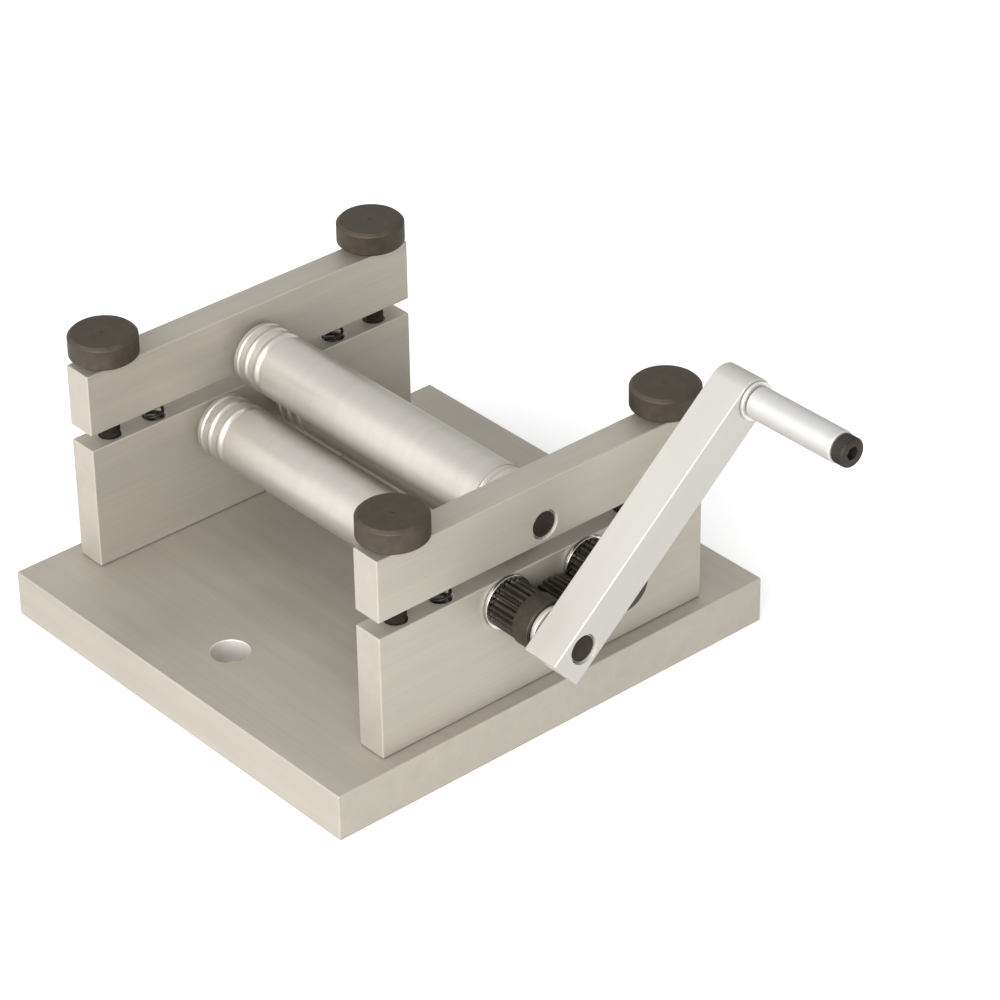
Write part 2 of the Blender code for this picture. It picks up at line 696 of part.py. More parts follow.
def pinion(name, set_screw_name, axis):
    """A pinion with its hub, keyed to a lower roll's journal by a set screw."""
    centre = world_place(axis)
    outline = gear_outline(PINION_TEETH, pinion_tooth_angle(centre.y))
    teeth = extruded(outline, GEAR_X, GEAR_FACE)
    piece = add_piece(name, teeth, gear_steel(), axis, (0, centre.y, centre.z))
    groove_radius = PINION_PITCH_RADIUS - GEAR_MODULE * DEDENDUM_SHARE
    inside = GEAR_X + GEAR_FACE - OVERRUN
    hub = [
        (inside, 0),
        (inside, groove_radius),
        (HUB_X, groove_radius),
        (HUB_X, HUB_DIAMETER / 2 - HEAD_CHAMFER),
        (HUB_X + HEAD_CHAMFER, HUB_DIAMETER / 2),
        (HUB_END_X - HEAD_CHAMFER, HUB_DIAMETER / 2),
        (HUB_END_X, HUB_DIAMETER / 2 - HEAD_CHAMFER),
        (HUB_END_X, 0),
    ]
    join_to(piece, turned(hub, ROUND_SIDES))
    outward = Vector((0, math.cos(SET_SCREW_ANGLE), math.sin(SET_SCREW_ANGLE)))
    middle = Vector(((HUB_X + HUB_END_X) / 2, 0, 0))
    across = pointing(outward, middle)
    set_hole = hole(
        [(JOURNAL_RADIUS, HUB_DIAMETER / 2 + OVERRUN, SET_SCREW_DIAMETER / 2 + CLEARANCE)],
        SMALL_SIDES, across,
    )
    bore = hole([(GEAR_X - OVERRUN, HUB_END_X + OVERRUN, BORE_RADIUS)], ROUND_SIDES, pointing((1, 0, 0)))
    cut(piece, [bore])
    cut(piece, [set_hole])
    set_screw(
        set_screw_name, axis, (0, centre.y, centre.z), across,
        BORE_RADIUS, HUB_DIAMETER / 2 - SET_SCREW_SUNK,
    )


def set_screw(name, parent, location, place, start, stop, rotation=(0, 0, 0)):
    """A headless screw with a hexagon socket in its outer end."""
    profile = [(start, 0), (start, SET_SCREW_DIAMETER / 2), (stop, SET_SCREW_DIAMETER / 2), (stop, 0)]
    piece = add_piece(
        name, turned(profile, SMALL_SIDES, place=place), black_steel(), parent, location, rotation,
    )
    cut(piece, [extruded(
        hexagon(SET_SCREW_SOCKET_WIDTH), stop - SET_SCREW_SOCKET_DEPTH,
        SET_SCREW_SOCKET_DEPTH + OVERRUN, place,
    )])


def ring(start, length, outer, inner, sides):
    """A washer, spacer or sleeve round the X axis."""
    profile = [(start, inner), (start, outer), (start + length, outer), (start + length, inner)]
    return turned(profile, sides, closed=True)


def thrust_washer(name, axis):
    """The bright washer between a pinion and the side plate."""
    shape = ring(WASHER_X, THRUST_WASHER_THICKNESS, THRUST_WASHER_DIAMETER / 2, BORE_RADIUS, ROUND_SIDES)
    centre = world_place(axis)
    add_piece(name, shape, washer_steel(), axis, (0, centre.y, centre.z))


def idler():
    """The idler gear on its shoulder screw, which lets both lower rolls turn the same way."""
    axis = add_axis("idler_axis", (0, 0, IDLER_AXIS_Z))
    centre = (0, 0, IDLER_AXIS_Z)
    bore = IDLER_SHOULDER_DIAMETER / 2 + CLEARANCE
    outline = gear_outline(IDLER_TEETH, math.pi / 2)
    gear = add_piece("idler_gear", extruded(outline, GEAR_X, GEAR_FACE), gear_steel(), axis, centre)
    steps = [(GEAR_X - OVERRUN, GEAR_X + GEAR_FACE + OVERRUN, bore)]
    cut(gear, [hole(steps, SCREW_SIDES, pointing((1, 0, 0)))])
    washer = ring(WASHER_X, THRUST_WASHER_THICKNESS, IDLER_WASHER_DIAMETER / 2, bore, SCREW_SIDES)
    add_piece("idler_washer", washer, washer_steel(), location=centre)
    seat = GEAR_X + GEAR_FACE + CLEARANCE
    profile = [
        (PLATE_OUTER_X - IDLER_THREAD_LENGTH, 0),
        (PLATE_OUTER_X - IDLER_THREAD_LENGTH, IDLER_THREAD_DIAMETER / 2),
        (WASHER_X, IDLER_THREAD_DIAMETER / 2),
        (WASHER_X, IDLER_SHOULDER_DIAMETER / 2),
        (seat, IDLER_SHOULDER_DIAMETER / 2),
        (seat, IDLER_HEAD_DIAMETER / 2),
        (seat + IDLER_HEAD_HEIGHT - HEAD_CHAMFER, IDLER_HEAD_DIAMETER / 2),
        (seat + IDLER_HEAD_HEIGHT, IDLER_HEAD_DIAMETER / 2 - HEAD_CHAMFER),
        (seat + IDLER_HEAD_HEIGHT, 0),
    ]
    screw = add_piece("idler_shoulder_screw", turned(profile, SCREW_SIDES), black_steel(), location=centre)
    cut(screw, [extruded(
        hexagon(IDLER_SOCKET_WIDTH), seat + IDLER_HEAD_HEIGHT - IDLER_SOCKET_DEPTH,
        IDLER_SOCKET_DEPTH + OVERRUN,
    )])


def arm_outline():
    """The crank arm's side view along its own length: a square foot and a round far end."""
    half = ARM_WIDTH / 2
    outline = [(-ARM_FOOT, half), (-ARM_FOOT, -half)]
    for step in range(ROUND_END_STEPS + 1):
        angle = math.pi * (step / ROUND_END_STEPS - 1 / 2)
        outline.append((ARM_CENTRES + half * math.cos(angle), half * math.sin(angle)))
    return outline


def crank(axis):
    """The spacer, arm, handle and their screws, which turn with the front roll."""
    centre = world_place(axis)
    spacer = ring(SPACER_X, CRANK_SPACER_LENGTH, CRANK_SPACER_DIAMETER / 2, BORE_RADIUS, ROUND_SIDES)
    add_piece("crank_spacer", spacer, crank_aluminium(), axis, (0, centre.y, centre.z))
    lean = (ARM_ANGLE, 0, 0)
    arm = add_piece(
        "crank_arm", extruded(arm_outline(), ARM_X, ARM_THICKNESS), crank_aluminium(),
        axis, (0, centre.y, centre.z), lean,
    )
    chamfer(arm, ARM_CHAMFER)
    screw_radius = HANDLE_SCREW_DIAMETER / 2 + CLEARANCE
    foot_place = pointing((0, -1, 0), ((ARM_X + ARM_OUTER_X) / 2, 0, 0))
    cut(arm, [
        hole([(ARM_X - OVERRUN, ARM_OUTER_X + OVERRUN, BORE_RADIUS)], ROUND_SIDES, pointing((1, 0, 0))),
        hole(
            [(ARM_OUTER_X - HANDLE_SCREW_REACH - CLEARANCE, ARM_OUTER_X + OVERRUN, screw_radius)],
            SCREW_SIDES, pointing((1, 0, 0), (0, ARM_CENTRES, 0)),
        ),
    ])
    cut(arm, [hole(
        [(JOURNAL_RADIUS, ARM_FOOT + OVERRUN, SET_SCREW_DIAMETER / 2 + CLEARANCE)],
        SMALL_SIDES, foot_place,
    )])
    set_screw(
        "crank_set_screw", axis, (0, centre.y, centre.z), foot_place,
        BORE_RADIUS, ARM_FOOT - SET_SCREW_SUNK, lean,
    )
    handle_centre = (0, HANDLE_AXIS_Y, HANDLE_AXIS_Z)
    washer = ring(
        HANDLE_WASHER_X, HANDLE_WASHER_THICKNESS, HANDLE_WASHER_DIAMETER / 2, screw_radius, ROUND_SIDES,
    )
    add_piece("handle_washer", washer, washer_steel(), axis, handle_centre)
    screw = add_piece(
        "handle_screw",
        turned(
            socket_screw_profile(
                HANDLE_HEAD_DIAMETER / 2, HANDLE_HEAD_HEIGHT, HANDLE_SCREW_DIAMETER / 2,
                HANDLE_HEAD_X - ARM_OUTER_X + HANDLE_SCREW_REACH, SCREW_TIP_CHAMFER,
            ),
            SCREW_SIDES,
        ),
        black_steel(), axis, (HANDLE_HEAD_X, HANDLE_AXIS_Y, HANDLE_AXIS_Z),
    )
    cut(screw, [extruded(
        hexagon(HANDLE_SOCKET_WIDTH), HANDLE_HEAD_HEIGHT - HANDLE_SOCKET_DEPTH,
        HANDLE_SOCKET_DEPTH + OVERRUN,
    )])
    handle_axis = add_axis("handle_axis", handle_centre, axis)
    stop = HANDLE_X + HANDLE_LENGTH
    radius = HANDLE_DIAMETER / 2
    grip = [
        (HANDLE_X, screw_radius),
        (HANDLE_X, radius - HANDLE_CHAMFER),
        (HANDLE_X + HANDLE_CHAMFER, radius),
        (stop - HANDLE_CHAMFER, radius),
        (stop, radius - HANDLE_CHAMFER),
        (stop, screw_radius),
    ]
    shape = turned(grip, ROUND_SIDES, closed=True)
    add_piece("handle_grip", shape, crank_aluminium(), handle_axis, handle_centre)


def lower_rolls():
    """The two driven rolls with their washers and pinions, and the crank on the front one."""
    left_end = -PLATE_OUTER_X + JOURNAL_RECESS
    front_axis = add_axis("front_roll_axis", (0, FRONT_AXIS_Y, LOWER_AXIS_Z))
    rear_axis = add_axis("rear_roll_axis", (0, REAR_AXIS_Y, LOWER_AXIS_Z))
    for name, axis, right_end in (
        ("front", front_axis, ARM_OUTER_X - ARM_SHAFT_RECESS),
        ("rear", rear_axis, HUB_END_X),
    ):
        centre = world_place(axis)
        roll = turned(roll_profile(left_end, right_end), ROLL_SIDES)
        add_piece(f"{name}_roll", roll, roll_steel(), axis, centre)
        thrust_washer(f"{name}_thrust_washer", axis)
        pinion(f"{name}_pinion", f"{name}_pinion_set_screw", axis)
    crank(front_axis)


def upper_frame():
    """The upper bars with their thumbscrews and the idle upper roll."""
    frame = add_axis("upper_frame_slide", (0, 0, BAR_FOOT))
    upper_bars(frame)
    thumbscrews(frame)
    end = PLATE_OUTER_X - JOURNAL_RECESS
    axis = add_axis("upper_roll_axis", (0, 0, UPPER_AXIS_Z), frame)
    roll = turned(roll_profile(-end, end), ROLL_SIDES)
    add_piece("upper_roll", roll, roll_steel(), axis, (0, 0, UPPER_AXIS_Z))


def build():
    for thing in list(bpy.data.objects):
        bpy.data.objects.remove(thing)
    base_plate()
    plate_screws()
    lower_side_plates()
    lift_springs()
    lower_rolls()
    idler()
    upper_frame()


build()
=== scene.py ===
"""The looks of a mini slip roll, in metres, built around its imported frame.

X runs along the rolls towards the crank, Y to the back and Z up.
"""
import math

import bmesh
import bpy
from mathutils import Matrix, Vector


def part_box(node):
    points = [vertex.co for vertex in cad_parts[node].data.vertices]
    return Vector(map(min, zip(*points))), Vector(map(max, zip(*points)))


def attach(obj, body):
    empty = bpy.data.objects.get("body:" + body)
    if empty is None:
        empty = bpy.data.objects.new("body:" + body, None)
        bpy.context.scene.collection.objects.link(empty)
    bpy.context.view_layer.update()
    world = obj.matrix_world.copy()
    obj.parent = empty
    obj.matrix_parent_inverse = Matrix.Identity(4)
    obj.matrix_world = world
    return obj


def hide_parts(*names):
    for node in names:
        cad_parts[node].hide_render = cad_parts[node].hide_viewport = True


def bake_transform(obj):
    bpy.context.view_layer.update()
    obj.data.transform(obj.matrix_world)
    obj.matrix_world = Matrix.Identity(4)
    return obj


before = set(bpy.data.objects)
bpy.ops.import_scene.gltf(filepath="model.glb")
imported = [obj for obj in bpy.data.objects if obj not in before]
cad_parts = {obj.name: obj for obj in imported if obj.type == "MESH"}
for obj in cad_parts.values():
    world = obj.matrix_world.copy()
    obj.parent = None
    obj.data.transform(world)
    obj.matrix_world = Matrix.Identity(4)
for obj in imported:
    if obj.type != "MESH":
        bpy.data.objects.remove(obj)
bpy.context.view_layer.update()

# The base plate is a slab of aluminium bar, milled on every face and lightly broken at its edges.
# Two counterbored holes on its middle line take screws into a bench, and four holes from beneath
# take the screws of the side plates.
base_low, base_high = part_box("base_plate")
base_edge = 0.0006
bench_hole_inset = 0.027
bench_hole_radius = 0.00435
bench_seat_radius = 0.00715
bench_seat_depth = 0.0095
plate_screw_hole_radius = 0.003475
plate_screw_seat_radius = 0.00555
plate_screw_seat_depth = 0.0073
hole_mouth = 0.0004
overrun = 0.002
merge_reach = 0.0000002
sharp_bend = math.radians(50)
fine_sides = 96
plate_light = (0.476, 0.442, 0.384)
plate_dark = (0.345, 0.320, 0.276)
dulled_sheen = (0.45, 0.45, 0.45, 1)


class Amount:
    """A value that changes over a surface. Sums written on it add the maths nodes."""

    def __init__(self, shading, socket):
        self.shading = shading
        self.socket = socket

    def maths(self, operation, first, second):
        return self.shading.node("ShaderNodeMath", {"operation": operation}, {0: first, 1: second})

    def __add__(self, other):
        return self.maths("ADD", self, other)

    __radd__ = __add__

    def __sub__(self, other):
        return self.maths("SUBTRACT", self, other)

    def __rsub__(self, other):
        return self.maths("SUBTRACT", other, self)

    def __mul__(self, other):
        return self.maths("MULTIPLY", self, other)

    __rmul__ = __mul__

    def __pow__(self, other):
        return self.maths("POWER", self, other)


class Shading:
    """The nodes of a finish, or of the studio round the object."""

    def __init__(self, tree):
        self.tree = tree

    def put(self, socket, value):
        if isinstance(value, Amount):
            self.tree.links.new(socket, value.socket)
        else:
            socket.default_value = value

    def node(self, kind, settings, sockets, output=0):
        """Add a node: first its settings, then the values or links of its sockets."""
        made = self.tree.nodes.new(kind)
        for setting, value in settings.items():
            setattr(made, setting, value)
        for socket, value in sockets.items():
            self.put(made.inputs[socket], value)
        return Amount(self, made.outputs[output])


class Finish(Shading):
    """The material of a surface: its shader, and the nodes that lead to it."""

    def __init__(self, name, metallic, roughness):
        self.material = bpy.data.materials.new(name)
        self.material.use_nodes = True
        super().__init__(self.material.node_tree)
        self.shader = self.tree.nodes["Principled BSDF"]
        self.put(self.shader.inputs["Metallic"], metallic)
        self.put(self.shader.inputs["Roughness"], roughness)
        self.put(self.shader.inputs["Specular Tint"], dulled_sheen)
        self.place = self.node("ShaderNodeTexCoord", {}, {}, "Object")

    def noise(self, scale, detail):
        """Smooth noise about a half, its waves counted to the metre."""
        return self.node("ShaderNodeTexNoise", {}, {"Vector": self.place, "Scale": scale, "Detail": detail})

    def grained(self, grain, along, across, detail):
        """The same noise drawn out along one axis, its waves counted along that axis and across it."""
        scale = [along if axis == grain else across for axis in range(3)]
        drawn = self.node("ShaderNodeVectorMath", {"operation": "MULTIPLY"}, {0: self.place, 1: scale})
        return self.node("ShaderNodeTexNoise", {}, {"Vector": drawn, "Scale": 1.0, "Detail": detail})

    def rings(self, scale, detail):
        """Noise that runs round the X axis, as a lathe tool or a grinding wheel leaves it."""
        along, across, away = [
            self.node("ShaderNodeSeparateXYZ", {}, {0: self.place}, axis) for axis in range(3)
        ]
        radius = (across * across + away * away) ** 0.5
        return self.node(
            "ShaderNodeTexNoise", {"noise_dimensions": "1D"},
            {"W": (along + radius) * scale, "Scale": 1.0, "Detail": detail},
        )

    def colour(self, factor, dark, light):
        """Colour the surface between two tones."""
        mixed = self.node(
            "ShaderNodeMix", {"data_type": "RGBA"}, {0: factor, 6: (*dark, 1), 7: (*light, 1)}, 2,
        )
        self.put(self.shader.inputs["Base Color"], mixed)

    def rough(self, amount):
        self.put(self.shader.inputs["Roughness"], amount)

    def bump(self, height, depth):
        """Raise the surface by depth metres where height is one."""
        raised = self.node("ShaderNodeBump", {}, {"Height": height, "Distance": depth, "Strength": 1.0})
        self.put(self.shader.inputs["Normal"], raised)


def milled(name, grain, dark, light, roughness):
    """Satin metal, with fine cutter streaks along the grain and a faint cloudy tarnish."""
    finish = Finish(name, metallic=0.55, roughness=roughness)
    streaks = finish.grained(grain, along=25, across=1700, detail=3.0)
    bands = finish.grained(grain, along=4, across=160, detail=2.0)
    clouds = finish.noise(scale=22.0, detail=4.0)
    finish.colour(streaks * 0.65 + bands * 0.45 + clouds * 0.6 - 0.35, dark, light)
    finish.rough(streaks * 0.16 + clouds * 0.14 + (roughness - 0.15))
    finish.bump(streaks * 0.7 + bands * 0.3, depth=0.00002)
    return finish


def bored(name, dark, light):
    """Bright metal as a drill or reamer leaves it, with fine marks, toned lighter as painted light for lit
    hole walls.
    """
    finish = Finish(name, metallic=0.55, roughness=0.50)
    marks = finish.noise(scale=1500.0, detail=4.0)
    waves = finish.noise(scale=320.0, detail=2.0)
    finish.colour(marks * 0.6 + waves * 0.6 - 0.1, dark, light)
    finish.rough(marks * 0.2 + 0.40)
    finish.bump(marks, depth=0.00001)
    return finish


def block(low, high, edge):
    """A bar with rounded edges between two corners."""
    shape = bmesh.new()
    bmesh.ops.create_cube(shape, size=1.0)
    bmesh.ops.scale(shape, vec=high - low, verts=shape.verts)
    bmesh.ops.translate(shape, vec=(low + high) / 2, verts=shape.verts)
    bmesh.ops.bevel(
        shape, geom=list(shape.edges), offset=edge, offset_type="OFFSET", segments=3, profile=0.5,
        affect="EDGES",
    )
    return shape


def skin(rings, closed=False):
    """Join rings of as many points each, and cap the two ends or join them to each other."""
    shape = bmesh.new()
    laid = [[shape.verts.new(point) for point in ring] for ring in rings]
    count = len(laid[0])
    pairs = list(zip(laid, laid[1:]))
    if closed:
        pairs.append((laid[-1], laid[0]))
    for one, other in pairs:
        for step in range(count):
            after = (step + 1) % count
            shape.faces.new((one[step], one[after], other[after], other[step]))
    if not closed:
        shape.faces.new(laid[0])
        shape.faces.new(laid[-1])
    return tidied(shape)


def tidied(shape):
    """Merge points that share a place, drop faces without area and turn the rest outwards."""
    bmesh.ops.remove_doubles(shape, verts=shape.verts, dist=merge_reach)
    bmesh.ops.dissolve_degenerate(shape, edges=shape.edges, dist=merge_reach)
    bmesh.ops.recalc_face_normals(shape, faces=shape.faces)
    return shape


def circle(along, radius, sides=fine_sides):
    """A ring of points round the X axis."""
    turns = [2 * math.pi * step / sides for step in range(sides)]
    return [Vector((along, radius * math.cos(turn), radius * math.sin(turn))) for turn in turns]


def eased(profile, size, closed=False):
    """Round each corner of a profile by the given size, or by what its neighbours leave."""
    most_of_side = 0.45
    bend_shares = (0, 0.3, 0.7, 1)
    points = [Vector(point) for point in profile]
    count = len(points)
    rounded = []
    for index, corner in enumerate(points):
        if not closed and index in (0, count - 1):
            rounded.append(corner)
            continue
        before = points[index - 1] - corner
        after = points[(index + 1) % count] - corner
        reach = min(size, before.length * most_of_side, after.length * most_of_side)
        start = corner + before.normalized() * reach
        stop = corner + after.normalized() * reach
        for share in bend_shares:
            rounded.append(start * (1 - share) ** 2 + corner * 2 * share * (1 - share) + stop * share ** 2)
    return rounded


def turned(profile, ease=0.0, closed=False, sides=fine_sides):
    """A shape turned round the X axis from a profile of (along, radius)."""
    if ease:
        profile = eased(profile, ease, closed)
    if closed:
        return skin([circle(along, radius, sides) for along, radius in profile], closed=True)
    shape = bmesh.new()
    points = [shape.verts.new((along, radius, 0)) for along, radius in profile]
    edges = [shape.edges.new(pair) for pair in zip(points, points[1:])]
    bmesh.ops.spin(
        shape, geom=points + edges, cent=(0, 0, 0), axis=(1, 0, 0), angle=2 * math.pi,
        steps=sides, use_merge=True,
    )
    return tidied(shape)


def facing(direction, at=(0, 0, 0)):
    """The placing that turns the X axis to a direction."""
    turn = Vector((1, 0, 0)).rotation_difference(Vector(direction))
    return Matrix.Translation(at) @ turn.to_matrix().to_4x4()


def placed(shape, matrix):
    bmesh.ops.transform(shape, matrix=matrix, verts=shape.verts)
    return shape


def through(start, stop, radius, mouth=hole_mouth):
    """A cutter for a hole right through from start to stop, with a broken edge at each end."""
    return turned([
        (start - overrun, 0), (start - overrun, radius + mouth), (start, radius + mouth),
        (start + mouth, radius), (stop - mouth, radius), (stop, radius + mouth),
        (stop + overrun, radius + mouth), (stop + overrun, 0),
    ])


def blind(bottom, mouth_at, radius, mouth=hole_mouth, sides=fine_sides):
    """A cutter for a drilled hole with a pointed bottom and a broken edge at its mouth."""
    return turned([
        (bottom - radius / 2, 0), (bottom, radius), (mouth_at - mouth, radius),
        (mouth_at, radius + mouth), (mouth_at + overrun, radius + mouth), (mouth_at + overrun, 0),
    ], sides=sides)


def scratch(shape):
    """A passing object for a cut."""
    mesh = bpy.data.meshes.new("passing")
    shape.to_mesh(mesh)
    shape.free()
    thing = bpy.data.objects.new("passing", mesh)
    bpy.context.scene.collection.objects.link(thing)
    return thing


def drilled(shape, cutters):
    """Cut every cutter out of a shape. The cut faces take the second finish."""
    for cutter in cutters:
        for face in cutter.faces:
            face.material_index = 1
    stock = scratch(shape)
    tools = [scratch(cutter) for cutter in cutters]
    for tool in tools:
        cut = stock.modifiers.new("cut", "BOOLEAN")
        cut.operation = "DIFFERENCE"
        cut.solver = "EXACT"
        cut.material_mode = "INDEX"
        cut.object = tool
    worked = stock.evaluated_get(bpy.context.evaluated_depsgraph_get())
    result = bmesh.new()
    result.from_mesh(worked.to_mesh())
    worked.to_mesh_clear()
    for thing in (stock, *tools):
        mesh = thing.data
        bpy.data.objects.remove(thing)
        bpy.data.meshes.remove(mesh)
    return result


def fitted(name, shape, finish, body, nodes, at=(0, 0, 0), turn=(0, 0, 0), cut_finish=None):
    """Make a piece from a shape, attach it to what it rides on and hide the nodes it stands for."""
    mesh = bpy.data.meshes.new(name)
    shape.to_mesh(mesh)
    shape.free()
    mesh.shade_smooth()
    mesh.set_sharp_from_angle(angle=sharp_bend)
    mesh.materials.append(finish.material)
    mesh.materials.append((cut_finish or finish).material)
    made = bpy.data.objects.new(name, mesh)
    bpy.context.scene.collection.objects.link(made)
    made.location = at
    made.rotation_euler = turn
    flats = made.modifiers.new("flat_faces", "WEIGHTED_NORMAL")
    flats.keep_sharp = True
    if body is not None:
        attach(made, body)
    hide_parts(*nodes)
    return made


def middle(node):
    low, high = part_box(node)
    return (low + high) / 2


sides = ("left", "right")
ends = ("front", "rear")
corners = [f"{side}_{end}" for side in sides for end in ends]
up = (0, 0, 1)
base_holes = []
bench_seat_at = base_high.z - bench_seat_depth
plate_screw_seat_at = base_low.z + plate_screw_seat_depth
for way in (-1, 1):
    hole = turned([
        (base_low.z - overrun, 0), (base_low.z - overrun, bench_hole_radius + hole_mouth),
        (base_low.z, bench_hole_radius + hole_mouth), (base_low.z + hole_mouth, bench_hole_radius),
        (bench_seat_at, bench_hole_radius), (bench_seat_at, bench_seat_radius),
        (base_high.z - hole_mouth, bench_seat_radius), (base_high.z, bench_seat_radius + hole_mouth),
        (base_high.z + overrun, bench_seat_radius + hole_mouth), (base_high.z + overrun, 0),
    ])
    base_holes.append(placed(hole, facing(up, (0, way * (base_high.y - bench_hole_inset), 0))))
for corner in corners:
    centre = middle(f"side_plate_screw_{corner}")
    hole = turned([
        (base_low.z - overrun, 0), (base_low.z - overrun, plate_screw_seat_radius + hole_mouth),
        (base_low.z, plate_screw_seat_radius + hole_mouth),
        (base_low.z + hole_mouth, plate_screw_seat_radius),
        (plate_screw_seat_at, plate_screw_seat_radius), (plate_screw_seat_at, plate_screw_hole_radius),
        (base_high.z + overrun, plate_screw_hole_radius), (base_high.z + overrun, 0),
    ])
    base_holes.append(placed(hole, facing(up, (centre.x, centre.y, 0))))
# Hole walls take a lighter tone than the faces: partly bright cut metal, partly painted light for the lit
# far walls.
bore_metal_painted_lit = bored("bored_aluminium_bright_and_painted_lit", dark=(0.58, 0.56, 0.52), light=(0.70, 0.68, 0.65))
base_metal = milled("base_satin_aluminium", grain=0, dark=plate_dark, light=plate_light, roughness=0.54)
fitted(
    "slip_roll_base", drilled(block(base_low, base_high, base_edge), base_holes), base_metal,
    "base_frame", ["base_plate"], cut_finish=bore_metal_painted_lit,
)

# Four socket head screws of blackened steel come up through the base and hold the side plates.
# Their heads are sunk in the underside, with a knurled rim and a hexagon socket.
head_edge = 0.0004
knurl_teeth = 44
knurl_depth = 0.00018
plate_screw_radius = 0.003175
plate_screw_head_radius = 0.00475
plate_screw_head_height = 0.0063
plate_screw_socket_width = 0.00476
plate_screw_socket_depth = 0.003
oxide_dark = (0.018, 0.015, 0.013)
oxide_light = (0.051, 0.043, 0.035)


def black_oxide(name, dark, light, roughness, ring_depth=0.000008):
    """Blackened steel with the fine rings of a lathe tool, worn a little brown; as the roll ends' finish it
    is painted shade.
    """
    finish = Finish(name, metallic=0.5, roughness=roughness)
    rings = finish.rings(scale=2600, detail=2.0)
    worn = finish.noise(scale=260.0, detail=5.0)
    finish.colour(rings * 0.5 + worn * 1.1 - 0.3, dark, light)
    finish.rough(rings * 0.12 + worn * 0.16 + (roughness - 0.14))
    finish.bump(rings * 0.6 + worn * 0.4, ring_depth)
    return finish


def hexagon_cutter(width, start, length):
    """A cutter for a hexagon socket along X."""
    corner = width / 2 / math.cos(math.pi / 6)
    return skin([circle(start, corner, sides=6), circle(start + length, corner, sides=6)])


def knurl(shape, radius, start, stop):
    """Press straight grooves into a turned rim between two places along X."""
    for vertex in shape.verts:
        reach = math.hypot(vertex.co.y, vertex.co.z)
        if start <= vertex.co.x <= stop and reach > radius - knurl_depth / 2:
            turn = math.atan2(vertex.co.z, vertex.co.y)
            sunk = 1 - knurl_depth / radius * (0.5 - 0.5 * math.cos(turn * knurl_teeth))
            vertex.co.y *= sunk
            vertex.co.z *= sunk


def cap_screw(head_radius, head_height, shank_radius, reach, socket_width, socket_depth):
    """A socket head screw along X, its seat at zero and its head beyond it."""
    tip = 0.0008
    rim = head_edge * 1.5
    shape = turned(
        [
            (-reach, 0), (-reach, shank_radius - tip), (-reach + tip, shank_radius),
            (0, shank_radius), (0, head_radius - head_edge), (head_edge, head_radius),
            (rim, head_radius), (head_height - rim, head_radius),
            (head_height - head_edge, head_radius), (head_height, head_radius - head_edge),
            (head_height, 0),
        ],
        sides=knurl_teeth * 4,
    )
    knurl(shape, head_radius, rim / 2, head_height - rim / 2)
    socket = hexagon_cutter(socket_width, head_height - socket_depth, socket_depth + overrun)
    return drilled(shape, [socket])


plate_screw_low, plate_screw_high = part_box("side_plate_screw_left_front")
screw_black = black_oxide("screw_black_oxide", oxide_dark, oxide_light, roughness=0.42)
for corner in corners:
    node = f"side_plate_screw_{corner}"
    centre = middle(node)
    fitted(
        f"base_cap_screw_{corner}",
        cap_screw(
            plate_screw_head_radius, plate_screw_head_height, plate_screw_radius,
            plate_screw_high.z - plate_screw_low.z - plate_screw_head_height,
            plate_screw_socket_width, plate_screw_socket_depth,
        ),
        screw_black, "base_frame", [node],
        at=(centre.x, centre.y, plate_screw_low.z + plate_screw_head_height), turn=(0, math.pi / 2, 0),
    )

# The lower side plates are lengths of aluminium bar that stand on the base. Each has two reamed
# bores for the lower rolls, a tapped hole for each thumbscrew and a pocket for each lift spring
# in its top face.
plate_edge = 0.0005
bore_radius = 0.00585
bore_mouth = 0.0001
stud_hole_radius = 0.00427
stud_hole_depth = 0.023
spring_pocket_radius = 0.00445
spring_pocket_depth = 0.009
idler_thread_radius = 0.003
idler_thread_hole_depth = 0.0108
clearance = 0.0003
roll_centres = [middle("front_roll"), middle("rear_roll")]
idler_centre = middle("idler_gear")
plate_metal = milled(
    "side_plate_satin_aluminium", grain=1, dark=plate_dark, light=plate_light, roughness=0.54,
)
for side in sides:
    low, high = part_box(f"lower_side_plate_{side}")
    holes = []
    for centre in roll_centres:
        bore = through(low.x, high.x, bore_radius, bore_mouth)
        holes.append(placed(bore, Matrix.Translation((0, centre.y, centre.z))))
    for end in ends:
        stud = middle(f"thumb_stud_{side}_{end}")
        hole = blind(high.z - stud_hole_depth, high.z, stud_hole_radius)
        holes.append(placed(hole, facing(up, (stud.x, stud.y, 0))))
        spring = middle(f"lift_spring_{side}_{end}")
        hole = blind(high.z - spring_pocket_depth, high.z, spring_pocket_radius)
        holes.append(placed(hole, facing(up, (spring.x, spring.y, 0))))
        screw = middle(f"side_plate_screw_{side}_{end}")
        screw_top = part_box(f"side_plate_screw_{side}_{end}")[1].z
        hole = blind(-screw_top - overrun, -low.z, plate_screw_hole_radius)
        holes.append(placed(hole, facing((0, 0, -1), (screw.x, screw.y, 0))))
    if side == "right":
        hole = blind(high.x - idler_thread_hole_depth, high.x, idler_thread_radius + clearance)
        holes.append(placed(hole, Matrix.Translation((0, idler_centre.y, idler_centre.z))))
    fitted(
        f"lower_plate_{side}", drilled(block(low, high, plate_edge), holes), plate_metal,
        "base_frame", [f"lower_side_plate_{side}"], cut_finish=bore_metal_painted_lit,
    )

